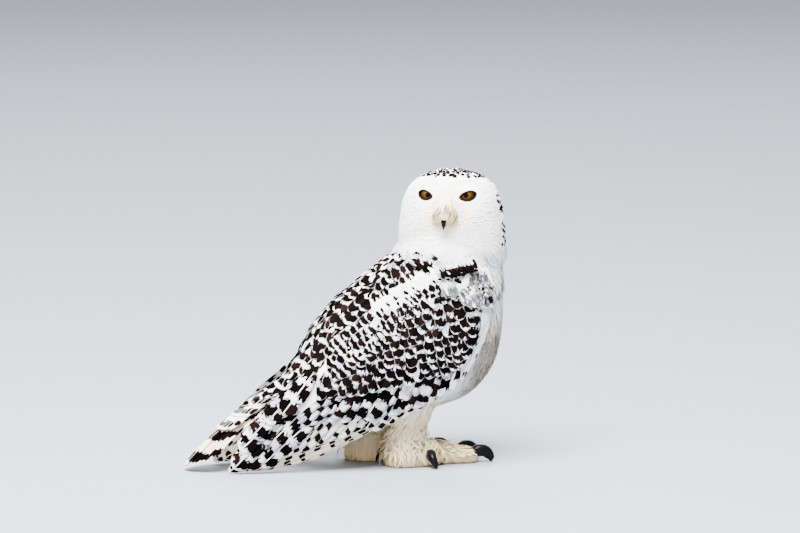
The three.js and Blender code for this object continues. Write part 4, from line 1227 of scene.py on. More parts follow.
def bricks(along, across):
    """Rows and columns of a brick pattern on the trunk: the length along it and round it, each over its
    pitch."""

    def lattice(p):
        s, share = trunk_place(p[:, 0], p[:, 2])
        half, power = np.maximum(trunk_half(s), 1), TRUNK_SQUARENESS / 2
        turn = np.arctan2(signed_power(p[:, 1] / half, power), signed_power(share, power))
        deep = np.hypot(back_x(s) - under_x(s), back_z(s) - under_z(s)) / 2
        return trunk_run(s) / along, turn * (half + deep) / 2 / across

    return lattice


def drift(p, reach, seed):
    """Slow change over space, from 0 to 1: five sine waves of about one length, in random directions."""
    draw = draws(seed)
    ways = unit(draw.normal(size=(5, 3))) / reach * draw.uniform(0.7, 1.4, (5, 1))
    return np.clip(0.5 + 0.25 * np.sin(2 * np.pi * (p @ ways.T) + draw.uniform(0, 6, 5)).sum(-1), 0, 1)


def under_wing(p, inset):
    """Whether a place on the trunk lies under a folded wing, further in than an inset from its edges."""
    u, t = on_wing_axis(p[..., 0], p[..., 2])
    inside = (t < wing_top(u) - inset) & (t > arm_bottom(u) + inset)
    inside = inside & (u > -0.14 + inset / WING_LENGTH) & (u < 0.9)
    return inside & (np.abs(p[..., 1]) > 20)


def on_cap(p):
    """Whether a place lies on the flecked cap: the top of the crown and the whole back of the head."""
    off = p - HEAD_FOOT
    ahead, aside, z = off @ FACEWARD, off @ LEFTWARD, p[..., 2]
    behind = np.where((aside > 0) & (z < 388), 18, -5)
    return (z > 316) & (((z > 407.0) & (ahead < 46)) | (ahead < behind))


def make_head_coat():
    """Fine white down on the head, shortest at the eyes and bill, longer down the throat, and the flecked
    cap."""
    down = plumage("white_down", 2, 3, 60, margin=0.9, grey=0.25, barbs=0.15)
    flecked = plumage("flecked_cap", 0.0, 7.4, 12.5, chevron=0.5, margin=1.1, missing=0.05, spread=0.6,
                      ragged=0.6, grey=0.1, barbs=0.2)

    def size(p):
        face = np.linalg.norm(p - BILL_ROOT, axis=-1)
        throat = smooth((332 - p[..., 2]) / 30) * smooth((p[..., 0] - 90) / 30)
        length = mix(7.0, 14, smooth((face - 20) / 45)) + 12 * throat
        return length, 0.16 * length + 1.0

    def rise(p):
        tall = mix(1.6, 3.2, smooth((np.linalg.norm(p - BILL_ROOT, axis=-1) - 15) / 50))
        return 0.1, tall + 2.0 * smooth((330 - p[:, 2]) / 25) * smooth((p[..., 0] - 90) / 30)

    def ahead(p):
        return (p - HEAD_FOOT) @ FACEWARD

    def plain(p):
        return (p[:, 2] > 314) & ~inside_lids(p, 6.5) & ~on_cap(p)

    def face(p, n):
        return plain(p) & (ahead(p) > 14) & (p[:, 2] > 340)

    def cheek(p, n):
        return plain(p) & (ahead(p) > 14) & (p[:, 2] <= 340)

    def temple(p, n):
        return plain(p) & (ahead(p) <= 14)

    def cap(p, n):
        return on_cap(p)

    def cap_size(p):
        length = mix(11, 17, smooth((402 - p[:, 2]) / 60))
        return length, 0.56 * length

    def cap_flecks(p, draw):
        dense = mix(0.7, 1.0, smooth((p[:, 2] - 390) / 14))
        dense = dense * mix(0.3, 1.0, smooth((p[:, 2] - 314) / 28 + smooth((110 - p[:, 0]) / 20)))
        dense = dense * (1 - 0.8 * bell(p[:, 2] - 398, 9) * smooth((p[:, 0] - 185) / 15))
        return (draw.random(len(p)) < dense).astype(float)

    soft = dict(camber=0.1, roll=0.04, soften=0.8)
    make_coat("face_down", 1.9, face, 21, size, rise, TUFT, down, head_unwrap, **soft)
    make_coat("cheek_down", 2.2, cheek, 22, size, rise, TUFT, down, head_unwrap, **soft)
    make_coat("temple_down", 2.2, temple, 23, size, rise, TUFT, down, head_unwrap, **soft)
    make_coat("cap_feathers", 5.6, cap, 24, cap_size, (0.3, 4.4), CAP, flecked, head_unwrap, cap_flecks,
              camber=0.15, stray=0.14, soften=0.5)


def make_body_coat():
    """Soft neck, breast, belly and flank feathers, and the blotched ones of the mantle, back and rump."""
    # The soft feathers' bars cover the whole visible end of each: a whole mark makes a dark tip, a part mark
    # the painted shade of soft_marks.
    soft = plumage("soft_contour", -1.5, 22, 60, chevron=0.5, margin=4.0, ragged=0.6, grey=0.4, barbs=0.15)
    bold = plumage("blotched_contour", 0.4, 18.5, 24, chevron=-1.5, margin=1.0, ragged=1.8, spread=1.8,
                   missing=0.02, grey=0.35)
    broken = plumage("broken_contour", 0.4, 12.5, 16.5, chevron=-1.0, margin=1.0, ragged=1.3, spread=1.2,
                     missing=0.06, grey=0.3)

    def neck_size(p):
        length = mix(16, 27, smooth((p[:, 0] - 95) / 40))
        return length, 0.09 * length + 1.3

    def neck_rise(p):
        tall = mix(3.6, 6.2, smooth((p[:, 0] - 95) / 40)) + 3.0 * smooth((p[:, 0] - 168) / 18)
        return 0.3, tall

    def soft_marks(p, draw):
        """A dark patch over the shoulder, painted shade as slow grey clouds below the throat and over the
        lower front of the breast, two brown spots on the belly and a stray dark tip here and there. Heights
        are those of the tips, 18 mm below the roots."""
        x, z = p[:, 0], p[:, 2] - 18
        near = smooth((-20 - p[:, 1]) / 20)
        patch = near * bell(z - 290, 7) * bell(x - 101, 8)
        spots = bell(np.hypot(x - 190, z - 124), 7) + bell(np.hypot(x - 176, z - 108), 7)
        belly = smooth((10 - p[:, 1]) / 20) * spots
        front = smooth((x - 150) / 50) * smooth((z - 100) / 60)
        # Painted shade: slow grey clouds below the throat, and the breast darkened towards its lower front.
        shade = 0.8 * smooth((drift(p, 26, 7) - 0.45) / 0.3) * bell(z - 254, 40)
        low = 0.8 * smooth((x - 150) / 44) * smooth((244 - z) / 74) * mix(0.75, 1.0, drift(p, 20, 8))
        shade = np.maximum(shade, low)
        chance = draw.random(len(p))
        return np.where(chance < 0.008 * front + 0.9 * patch, 1.0, np.maximum(shade, 0.96 * belly))

    def neck_foot(p):
        return mix(270, 304, smooth((150 - p[:, 0]) / 60))

    def on_neck(p, n):
        return (p[:, 2] > neck_foot(p)) & (p[:, 2] <= 318)

    make_coat("neck_feathers", 2.6, on_neck, 31, neck_size, neck_rise, TUFT, soft, head_unwrap, soft_marks,
              camber=0.1, roll=0.04, stray=0.16, soften=0.85)

    def on_mantle(p):
        return (mantle_share(p) >= 0.5) & (p[:, 2] > 66)

    def plain(p, n):
        low = (leg_nearness(p) < 0.5) & (p[:, 2] <= neck_foot(p) + 2)
        return low & ~on_mantle(p) & ~under_wing(p, 22)

    make_coat("breast_feathers", 3.2, plain, 32, (27.0, 3.8), (0.4, 6.0), TUFT, soft, trunk_unwrap,
              soft_marks, camber=0.1, roll=0.04, stray=0.16, soften=0.85)

    def upper(p, n):
        return on_mantle(p) & ~under_wing(p, 18) & (p[:, 2] > 284)

    def lower(p, n):
        return on_mantle(p) & ~under_wing(p, 18) & (p[:, 2] <= 290)

    make_coat("mantle_upper", 10.0, upper, 33, (32.0, 17.0), (0.5, 5.2), BODY, broken, trunk_unwrap, 1.0,
              slot="barred_feather", camber=0.12, roll=0.1, stray=0.1, soften=0.3,
              lattice=bricks(10.5, 13.0))
    make_coat("mantle_feathers", 15.0, lower, 34, (50.0, 25.0), (0.6, 6.6), COVERT, bold, trunk_unwrap, 1.0,
              slot="barred_feather", camber=0.1, roll=0.1, stray=0.08, soften=0.25,
              lattice=bricks(15.0, 19.5))


def make_leg_coats():
    """Long loose feathers on the shanks and short dense ones over the toes."""
    fluff = plumage("cream_leg_down", -1.5, 8, 60, margin=3.0, ragged=0.8, grey=0.15, barbs=0.15,
                    darks=("#1D1612", "#4A3626", "#6B5238"))

    def leg_marks(p, draw):
        """A few brown flecks high on the far shank, and a dark smudge over the outer toe of the near
        foot."""
        thigh = 0.85 * bell(p[:, 0] - 42, 9) * smooth((p[:, 2] - 56) / 4) * (p[:, 1] > 0) * (p[:, 1] < 40)
        instep = 0.9 * bell(p[:, 0] - 97, 8) * bell(p[:, 2] - 50, 7) * smooth((-36 - p[:, 1]) / 8)
        return (draw.random(len(p)) < np.maximum(thigh, instep)).astype(float)

    def on_shank(p, n):
        return (leg_nearness(p) >= 0.45) & (p[:, 2] > 26)

    def shank_size(p):
        length = mix(18, 27, smooth((p[:, 2] - 24) / 40))
        return length, 0.06 * length + 0.9

    def behind(p):
        """How far behind its shank a place lies, from 0 to 1."""
        off = np.stack([p[:, :2] - leg_axis(leg, p[:, 2]) for leg in LEGS.values()])
        nearest = np.linalg.norm(off, axis=-1).argmin(0)
        return smooth(-off[nearest, np.arange(len(p)), 0] / 16)

    def shank_rise(p):
        return 0.5, mix(9.5, 7.5, smooth((p[:, 2] - 20) / 40)) + 4.5 * behind(p)

    def fringe_rise(p):
        return 1.0, mix(15.0, 12.0, smooth((p[:, 2] - 20) / 50)) + 6.0 * behind(p)

    def on_foot(p, n):
        return (p[:, 2] <= 30) & (n[:, 2] > -0.75)

    def foot_size(p):
        length = mix(14, 20, smooth((p[:, 2] - 10) / 20))
        return length, 0.1 * length + 0.5

    make_coat("leg_feathers", 2.3, on_shank, 41, shank_size, shank_rise, TUFT, fluff, foot_unwrap, leg_marks,
              slot="cream_feather", camber=0.1, roll=0.06, stray=0.3, soften=0.85)
    make_coat("leg_fringe", 4.2, on_shank, 43, (26.0, 1.9), fringe_rise, TUFT, fluff, foot_unwrap, leg_marks,
              slot="cream_feather", camber=0.1, roll=0.06, stray=0.55, soften=0.95)
    make_coat("toe_feathers", 2.1, on_foot, 42, foot_size, (0.3, 7.0), TUFT, fluff, foot_unwrap,
              slot="cream_feather", camber=0.1, roll=0.06, stray=0.26, soften=0.85)


def bill_mound(aside, z):
    """The ground that the bristles lie on: the face, and a bell over the root of the bill that hides it."""
    extra = 3.2 * bell(aside, 13) * bell(z - 369, 15) + 3.4 * bell(aside, 7) * bell(z - 358, 7)
    return face_at(aside, z, -1.0) + FACEWARD * extra[..., None]


def make_bristles():
    """Fine bristles that spring beside the ridge of the bill, arch outwards over it and droop to its tip:
    each runs down by its length while it swings aside by a sine, and stands off the mound by another."""
    bristle = plumage("cream_bristle", -13, 40, 60, margin=8.0, ragged=0.4, spread=0.5, grey=0.05, barbs=0.1,
                      darks=("#1C1912", "#2A251A", "#3A3425"))
    draw = draws(51)
    count, lines = 2800, 28
    side = np.where(draw.random(count) < 0.5, -1.0, 1.0)
    start = mix(396, 356, draw.random(count) ** 0.8)
    swing = draw.uniform(0, 1, count) ** 0.9 * mix(6, 16.5, smooth((392 - start) / 24))
    begin = draw.uniform(-1.5, 3.0, count)
    dark = np.zeros(count)
    # The dark ones lie on top, an even spread of them on each side.
    step = np.arange(lines)
    dark[:lines] = 1.0
    swing[:lines] = 0.4 + 15.8 * (step // 2) / (lines / 2 - 1) + draw.normal(0, 0.3, lines)
    side[:lines] = np.where(step % 2, 1.0, -1.0)
    start[:lines] = mix(384, 376, (step // 2) / (lines / 2 - 1)) + draw.normal(0, 3.0, lines)
    begin[:lines] = 0.3 + 0.12 * swing[:lines]
    foot = 348.5 - 3.0 * smooth((swing - 6) / 8) + draw.exponential(4.2, count)
    foot = np.clip(foot, start - 34, start - 7)
    at, share, columns = (np.array(BRISTLE[n]) for n in ("at", "share", "columns"))
    aside = side[:, None] * (begin[:, None] + swing[:, None] * np.sin(0.86 * np.pi * at) ** 0.9)
    z = start[:, None] + (foot - start)[:, None] * (0.75 * at + 0.25 * at**2)
    layer = np.where(dark > 0, 1.12, draw.uniform(0.3, 1.0, count))[:, None]
    lift = 0.4 + layer * 2.6 * np.sin(np.pi * (0.12 + 0.7 * at))
    lift[:lines] = 0.4 + 4.0 * smooth(at / 0.3) * (1 - 0.3 * at)
    spine = bill_mound(aside, z) + FACEWARD * lift[..., None]
    normal = unit(spine - head_place(44, 0, 362))
    ahead = unit(np.gradient(spine, axis=1))
    across = unit(np.cross(normal, ahead))
    half = np.where(dark > 0, 0.54, draw.uniform(0.38, 0.6, count))[:, None] * share
    top = blades(spine, across, normal, half, columns, 0.3)
    length = np.linalg.norm(np.diff(spine, axis=1), axis=-1).sum(1)
    tint = 1.0 - 0.4 * smooth((start - 376) / 18)
    facts = described(top, length, half.max(1) * 2, BRISTLE, 52, dark, tint)
    vanes("bill_bristles", top, facts, tuft_patch(head_unwrap(spine[:, 0])), bristle,
          lie=normal, soften=0.75)


def horn_rings(places, across, wide, deep, taper):
    """A horn: ovals square to a smooth curve through the places, shrinking by the taper's curve to a
    point."""
    count, around = 30, 20
    t = np.linspace(0, 1, count)
    middle = np.stack([curve(t) for curve in path_through(places)], -1)
    deepward = unit(np.cross(unit(np.gradient(middle, axis=0)), across))
    full = through(taper)(t)[:, None, None]
    turn = turns(around)[None, :, None]
    across = np.asarray(across)[None, None, :]
    oval = wide * np.cos(turn) * across + deep * np.sin(turn) * deepward[:, None, :]
    return middle[:, None, :] + full * oval


# Claws: width and depth at the root, how far each is hooked forwards, its share of the full reach, and how
# high it arches in radii of its toe. The far foot's hind claw is half as large.
CLAW_WIDE, CLAW_DEEP, FAR_HALLUX = 7.6, 8.8, 0.5
CLAW_HOOK = {"hallux": 0, "inner": 0, "middle": 0, "outer": 11}
CLAW_REACH = {"hallux": 1.0, "inner": 1.0, "middle": 0.84, "outer": 0.95}
CLAW_LIFT = {"hallux": 1.22, "inner": 1.42, "middle": 1.22, "outer": 1.22}
CLAW_TAPER = [(0, 1), (0.35, 1), (0.62, 0.88), (0.82, 0.62), (0.94, 0.32), (1, 0.08)]


def make_bill():
    """Upper and lower bill, hooked and nearly black, with their bases under the bristles."""
    shiny = horn_material("bill_keratin", "#040405", 0.34)
    ahead, reach, base, tip = BILL["ahead"], BILL["reach"], BILL["base"], BILL["tip"]
    upper = [head_place(ahead - 10, 0, base - 2), head_place(ahead + reach * 0.45, 0, base - 4),
             head_place(ahead + reach * 0.92, 0, base - 13), head_place(ahead + reach * 0.9, 0, tip)]
    taper = [(0, 1), (0.3, 0.96), (0.55, 0.84), (0.75, 0.62), (0.9, 0.34), (1, 0.05)]
    rings = horn_rings(upper, LEFTWARD, BILL["wide"], BILL["deep"], taper)
    piece("bill_upper_horn", new_mesh("bill_upper_horn", *closed_rings(rings)), shiny, ["bill_upper"])
    lower = [head_place(ahead - 8, 0, tip + 8), head_place(ahead + 4, 0, tip + 7),
             head_place(ahead + reach * 0.5, 0, tip + 4)]
    rings = horn_rings(lower, LEFTWARD, BILL["wide"] * 0.6, 3.6, [(0, 1), (0.5, 0.9), (0.85, 0.6), (1, 0.1)])
    piece("bill_lower_horn", new_mesh("bill_lower_horn", *closed_rings(rings)), shiny, ["bill_lower"])


def make_claws():
    """Eight curved black claws, each arching from inside its toe's feathers down to the ground."""
    claw_horn = horn_material("claw_keratin", "#040405", 0.3)
    for which, leg in LEGS.items():
        for toe, (bearing, reach, radius, claw) in TOES.items():
            ahead = toe_heading(leg, bearing)
            lift = radius * CLAW_LIFT[toe]
            full = FAR_HALLUX if toe == "hallux" and which == "left" else 1.0
            along = np.array((-7, 2, claw * 0.46, claw * 0.74, claw * 0.8)) * full * CLAW_REACH[toe] + reach
            high = np.array((lift * 0.9, lift * 1.15, lift * 1.05, lift * 0.55, 1.0))
            hook = np.array((0, 0, 0.25, 0.7, 1.0)) * CLAW_HOOK[toe]
            places = np.array((*leg["pad"], 0.0)) + along[:, None] * ahead + high[:, None] * UP
            places[:, 0] += hook
            rings = horn_rings(places, np.cross(UP, ahead), CLAW_WIDE * full, CLAW_DEEP * full, CLAW_TAPER)
            rings[..., 2] = np.maximum(rings[..., 2], LEAST_HEIGHT["claws"])
            name = f"{toe}_claw_{which}"
            piece(name, new_mesh(name, *closed_rings(rings)), claw_horn, [f"claw_{which}_{toe}"])


# ---- wings and tail, feather by feather -----------------------------------------------------------------


def vane_shape(stations, columns, root, round_from):
    """Stations closer together towards the tip, the half width swelling from the root's share to full and
    then rounded off by a quarter of an ellipse; columns evenly across."""
    k = 1 - (1 - np.linspace(0, 1, stations)) ** 1.35
    share = root + (1 - root) * smooth(k / 0.5) ** 0.8
    past = np.clip((k - round_from) / (1 - round_from), 0, 0.992)
    return {"at": k, "share": share * np.sqrt(1 - past**2), "columns": np.linspace(-1, 1, columns)}


COVERT = vane_shape(13, 7, 0.62, 0.62)
FLIGHT = vane_shape(26, 7, 0.6, 0.84)
# Thickness a vane is laid with, its gap over its neighbour, the slopes across that this may take, and the
# share of its half width by which its edge frays.
THICK, CLEAR, SLOPES, FRAY = 0.7, 0.65, (0.01, 0.16), 0.16

# Rows of coverts from the shoulder down: where the tips lie, lean, length, width and rise. Rows between these
# are laid half way.
COVERT_ROWS = [
    ([(151, 236), (104, 217), (58, 204), (18, 193)], (80, 62), (36, 40), (22, 16), (6.2, 10.4)),
    ([(160, 206), (106, 188), (50, 177), (-12, 166)], (80, 62), (40, 44), (24, 17), (5.2, 9.0)),
    ([(156, 175), (107, 161), (35, 148), (-40, 134)], (84, 60), (46, 54), (27, 20), (4.2, 7.6)),
    ([(142, 147), (95, 134), (20, 119), (-58, 107)], (88, 58), (52, 66), (29, 23), (3.2, 6.2)),
]
COVERT_SPACING = (12.0, 14.5)
SECONDARIES = {
    "tips": [(126, 116), (88, 98), (48, 86), (6, 79), (-36, 77), (-76, 76), (-108, 66)],
    "count": 15, "lean": (84, 44), "long": (72, 120), "wide": (38, 32), "rise": (1.9, 2.5), "over": "front",
}
HAND = {
    "tips": [(112, 106), (80, 90), (40, 74), (-6, 58), (-48, 46), (-86, 32), (-120, 19), (-150, 9),
             (-182, 5)],
    "count": 19, "lean": (70, 34), "long": (56, 170), "wide": (21, 22), "rise": (-1.0, -0.4), "over": "front",
}
HAND_COVERTS = {
    "tips": [(138, 131), (110, 105), (82, 88), (52, 73), (20, 60)],
    "count": 7, "lean": (80, 48), "long": (46, 80), "wide": (22, 22), "rise": (-2.2, -1.8), "over": "rear",
}
TERTIALS = {
    "tips": [(-138, 12), (-158, 10), (-176, 13), (-168, 34), (-150, 54), (-128, 73), (-106, 86)],
    "count": 7, "lean": (44, 50), "long": (112, 74), "wide": (31, 27), "rise": (2.8, 4.6), "stack": 1.0,
}
# Long feathers down the wing's front edge, in two rows.
FRONT_ROWS = [
    {"tips": [(186, 207), (180, 182), (168, 157), (152, 134), (135, 113)], "count": 11, "lean": (84, 60),
     "long": (48, 60), "wide": (13, 13), "rise": (-0.4, 0.4), "over": "rear"},
    {"tips": [(178, 216), (172, 191), (160, 167), (144, 144), (129, 124)], "count": 10, "lean": (84, 60),
     "long": (46, 58), "wide": (14, 14), "rise": (1.8, 3.0), "over": "rear"},
]
# Rows along the wing's upper edge: how far below it, from and to along the wing, how many, and their length,
# width and rise.
MARGIN_ROWS = [
    (5, (-0.08, 0.2), 15, (20, 21), (12, 13), (9.0, 10.8)),
    (-3, (-0.06, 0.26), 18, (14, 15), (11, 12), (9.6, 11.2)),
    (-8, (-0.05, 0.26), 18, (10, 11), (10, 11), (10.0, 11.6)),
]
SCAPULAR_ROWS = [
    (-24, (0.06, 0.2), 6, (34, 36), (18, 19), (0.5, 7.8)),
    (-14, (0.0, 0.25), 12, (27, 29), (15, 16), (2.5, 10.4)),
]
BEADED_ROWS = [
    (30, (-0.06, 0.5), 24, (30, 32), (15, 16), (7.4, 9.4)),
    (20, (-0.08, 0.5), 24, (28, 30), (15, 16), (8.0, 10.0)),
    (11, (-0.06, 0.52), 24, (26, 28), (14, 15), (8.6, 10.6)),
    (1, (0.24, 0.5), 11, (22, 24), (14, 15), (8.8, 10.4)),
]
# The ruffled feathers over the wrist: their roots lie between these two curves.
RUFFLE = {
    "from": [(108, 280), (132, 283), (158, 286), (184, 288)],
    "to": [(112, 270), (136, 262), (160, 252), (186, 246)],
}
# Dark tips side by side along lines: from, to, depth, lift and how many.
STREAKS = (((122, 275), (169, 284), 4.4, 16.5, 320), ((94, 288), (106, 282), 8.0, 12.5, 50))
PRIMARY_ROOTS = [(98, 107), (106, 128)]
PRIMARY_TIPS = [(-82, 18), (-109, 11), (-138, 6), (-156, 5), (-168, 7), (-176, 12)]
PRIMARY_WIDE, PRIMARY_LOW, PRIMARY_PITCH = 26.0, -6.4, 1.08
# Rows of coverts over the tail: how far along it the tips lie, how many, and how far to each side.
TAIL_COVERT_ROWS = ((112, 8, 26), (84, 9, 27), (58, 9, 26))


def feather_grid(place, roots, tips, wide, rise, slope, camber, shape, bow=0.0):
    """Upper faces of feathers between roots and tips given in a surface's own two directions. Each point is
    on the shaft's line, moved aside by its column; its height mixes the rise by station, adds the slope
    across and the camber's parabola, and the shaft bows to one side by a parabola."""
    k, share, columns = (np.asarray(shape[n], float) for n in ("at", "share", "columns"))
    run = tips - roots
    long = np.linalg.norm(run, axis=-1)
    across = np.stack([-run[:, 1], run[:, 0]], -1) / long[:, None]
    frayed = 1 - FRAY * draws(len(roots)).random((len(roots), len(k), len(columns))) * (abs(columns) == 1)
    off = wide[:, None, None] / 2 * share[None, :, None] * columns[None, None, :] * frayed
    bend = off + bow * (long[:, None] * k * (1 - k) * 4)[:, :, None]
    at = roots[:, None, None, :] + run[:, None, None, :] * k[None, :, None, None]
    at = at + across[:, None, None, :] * bend[..., None]
    height = (rise[:, 0, None] + (rise[:, 1] - rise[:, 0])[:, None] * k)[:, :, None]
    bulge = camber * (1 - columns**2)[None, None, :] * share[None, :, None]
    height = height + slope[:, None, None] * off + bulge
    return place(at[..., 0], at[..., 1], height), long


def row_of_feathers(place, row, shape, seed, camber=0.55):
    """A row along a curve through the tips' places. Its slope across lets each feather clear its
    neighbour."""
    count = row["count"]
    draw = draws(seed)
    tip_x, tip_z = path_through(row["tips"])
    k = np.linspace(0, 1, count)
    k = k + row.get("bunch", 0) * k * (1 - k)
    turn = np.radians(mix(*row["lean"], k))
    long = mix(*row["long"], k) * draw.uniform(0.96, 1.04, count)
    tips = np.stack([tip_x(k), tip_z(k)], -1) + draw.normal(0, 1.3, (count, 2))
    lean = turn + draw.normal(0, 0.035, count)
    roots = tips + long[:, None] * np.stack([np.cos(lean), np.sin(lean)], -1)
    if row.get("stack"):
        slope = np.zeros(count)
    else:
        near = np.where(k < 0.5, np.r_[k[1:], k[-1]], np.r_[k[0], k[:-1]])
        step = np.stack([tip_x(near) - tip_x(k), tip_z(near) - tip_z(k)], -1)
        spacing = np.abs(step[:, 0] * np.sin(turn) - step[:, 1] * np.cos(turn))
        behind = np.abs(step[:, 0] * np.cos(turn) + step[:, 1] * np.sin(turn))
        drop = behind * (row["rise"][1] - row["rise"][0]) / long
        way = 1 if row["over"] == "front" else -1
        slope = np.clip((THICK + CLEAR + way * drop) / spacing, *SLOPES) * way
    rise = np.array(row["rise"])[None, :] + (row.get("stack", 0) * np.arange(count))[:, None]
    wide = mix(*row["wide"], k) * draw.uniform(0.93, 1.07, count)
    top, long = feather_grid(place, roots, tips, wide, rise, slope, camber, shape)
    return top, long, wide


def covert_rows():
    """The rows of coverts with a row laid half way between each two."""
    rows = []
    for n in np.arange(-0.5, 3.01, 0.5):
        low = min(max(int(math.floor(n)), 0), 2)
        a, b, k = COVERT_ROWS[low], COVERT_ROWS[low + 1], n - low
        tips, lean, long, wide, rise = (mix(np.array(p, float), np.array(q, float), k) for p, q in zip(a, b))
        if n < 0:
            tips = tips[0] + (tips - tips[0]) * 0.86
        reach = np.linalg.norm(tips[-1] - tips[0])
        count = int(round(reach / mix(*COVERT_SPACING, (n + 0.5) / 3.5))) + 1
        rows.append({"tips": tips.tolist(), "lean": lean, "long": long, "wide": wide, "rise": rise,
                     "count": count, "over": "rear", "bunch": 0.22})
    return rows


def edge_row(shift, reach, count, long, wide, rise):
    """A row of small feathers along the wing's upper edge, in the layout of the other rows."""
    u = np.linspace(*reach, 7)
    t = wing_top(u) - shift
    tips = WING_FROM + WING_AXIS * (WING_LENGTH * u)[:, None] + WING_RISE * t[:, None]
    lean = mix(64, 40, (np.array(reach) + 0.1) / 0.6)
    return {"tips": tips.tolist(), "count": count, "lean": lean, "long": long, "wide": wide, "rise": rise,
            "over": "rear"}


def ruffle():
    """Loose feathers over the wrist: roots spread at random between two curves in side view, drooping
    forwards."""
    draw = draws(101)
    count = 560
    high, low = path_through(RUFFLE["from"]), path_through(RUFFLE["to"])
    u, v = draw.random(count), draw.random(count)
    order = np.argsort(-v)
    u, v = u[order], v[order]
    roots = np.stack([mix(high[c](u), low[c](u), v) for c in (0, 1)], -1)
    turn = np.radians(mix(-60, -84, u) + draw.normal(0, 14, count))
    long = draw.uniform(17, 26, count)
    tips = roots + long[:, None] * np.stack([np.cos(turn), np.sin(turn)], -1)
    wide = long * draw.uniform(0.22, 0.36, count)
    along, over = (roots - WING_FROM) @ WING_AXIS / WING_LENGTH, (roots - WING_FROM) @ WING_RISE
    on_wing = smooth((wing_top(along) - over + 6) / 16) * smooth((along + 0.16) / 0.07)
    lift = mix(8.0, 14.5, on_wing) + 2.0 * (1 - v) + draw.normal(0, 0.35, count)
    rise = np.stack([lift - 2.4, lift], -1)
    # Most feathers take a part mark, a grey that is painted shade among the ruffled feathers; one in ten a
    # whole dark tip.
    chance = draw.random(count)
    marks = np.where(chance < 0.1, 1.0, np.where(chance < 0.82, draw.uniform(0.7, 0.95, count), 0.0))
    top, long = feather_grid(wing_place, roots, tips, wide, rise, draw.normal(0, 0.06, count), 0.5, BODY)
    return top, long, wide, marks


def streak(begin, finish, deep, top_lift, count):
    """Dark feathers whose tips lie side by side along a line from one place to another, as deep as a
    length."""
    draw = draws(count)
    line = draw.random(count)
    tips = mix(np.array(begin, float), np.array(finish, float), line[:, None])
    tips[:, 1] += draw.normal(0, 0.4, count) * deep
    turn = np.radians(mix(-48, -70, line) + draw.normal(0, 12, count))
    roots = tips - draw.uniform(14, 20, count)[:, None] * np.stack([np.cos(turn), np.sin(turn)], -1)
    high = top_lift + draw.uniform(0, 0.8, count) - 2.5 * smooth((tips[:, 0] - 130) / 40)
    wide = draw.uniform(3.4, 6.0, count)
    rise = np.stack([high - 8.0, high], -1)
    top, long = feather_grid(wing_place, roots, tips, wide, rise, draw.normal(0, 0.06, count), 0.5, BODY)
    return top, long, wide, (draw.random(count) < 0.97).astype(float)


def gathered(parts):
    """Joins rows of feathers that share a shape."""
    return [np.concatenate([p[n] for p in parts]) for n in range(len(parts[0]))]


def put_wing_piece(name, parts, shape, material, seed, cream=0.0, replaced="", sides=("right", "left")):
    """Makes a piece for the right wing and its mirrored, tucked twin for the left."""
    top, long, wide, *marks = gathered(parts)
    marks = marks[0] if marks else np.ones(len(top))
    for side in sides:
        facts = described(top, long, wide, shape, seed + (side == "left"), marks, np.full(len(top), cream))
        points = top
        if side == "left":
            points, facts = tucked(top)[:, :, ::-1], flipped(facts)
        stands_for = [f"{replaced}_{side}"] if replaced else ()
        vanes(f"{name}_{side}", points, facts, grid_patch(len(top)), material, stands_for)


def wing_rows(rows, shape, seed):
    """Rows laid on the right wing, each with the next seed."""
    return [row_of_feathers(wing_place, row, shape, seed + n) for n, row in enumerate(rows)]


def marked(rows, shares, draw):
    """The rows again, with marks on a share of each row's feathers, picked at random."""
    return [(*row, (draw.random(len(row[0])) < share).astype(float)) for row, share in zip(rows, shares)]


def make_coverts(draw):
    """Coverts row over row, small ones along the upper edge, and the scapulars over that edge."""
    covert = plumage("blotched_covert", 1.0, 15.4, 20, chevron=-1.5, margin=0.95, ragged=2.5, spread=2.0,
                     missing=0.03, grey=0.9)
    small = plumage("streaked_covert", 1.6, 5.5, 12, chevron=-1.0, margin=0.66, ragged=0.8, missing=0.1,
                    grey=0.1)
    beaded = plumage("beaded_covert", 1.4, 9.0, 13.5, chevron=-1.0, margin=0.98, ragged=1.0, spread=1.0,
                     missing=0.04, grey=0.8)
    put_wing_piece("wing_coverts", wing_rows(covert_rows(), COVERT, 60), COVERT, covert, 71, replaced="wing")
    margin = marked(wing_rows([edge_row(*row) for row in MARGIN_ROWS], COVERT, 80), (0.9, 0.35, 0.0), draw)
    put_wing_piece("marginal_coverts", margin, COVERT, small, 72)
    scapulars = wing_rows([edge_row(*row) for row in SCAPULAR_ROWS], COVERT, 87)
    put_wing_piece("scapulars", scapulars, COVERT, covert, 97, sides=("right",))
    beads = wing_rows([edge_row(*row) for row in BEADED_ROWS], COVERT, 84)
    put_wing_piece("scapular_edge", beads, COVERT, beaded, 79)


def make_flight_feathers(hand):
    """Secondaries, the long feathers of the hand with their coverts, and the tertials."""
    barred = plumage("barred_secondary", 9.0, 16.5, 26, chevron=-2.5, margin=1.3, ragged=2.4, spread=0.8,
                     missing=0.03, grey=1.0)
    bold = plumage("blotched_tertial", 3.0, 20, 28, chevron=-4.0, margin=1.1, shaft=0.5, ragged=3.6,
                   spread=4.0, missing=0.05, grey=0.8)
    put_wing_piece("secondaries", wing_rows([SECONDARIES], FLIGHT, 90), FLIGHT, barred, 73, 0.03)
    put_wing_piece("hand_feathers", wing_rows([HAND, HAND_COVERTS], FLIGHT, 91), FLIGHT, hand, 78, 0.2)
    put_wing_piece("tertials", wing_rows([TERTIALS], FLIGHT, 95), FLIGHT, bold, 75, 0.03)


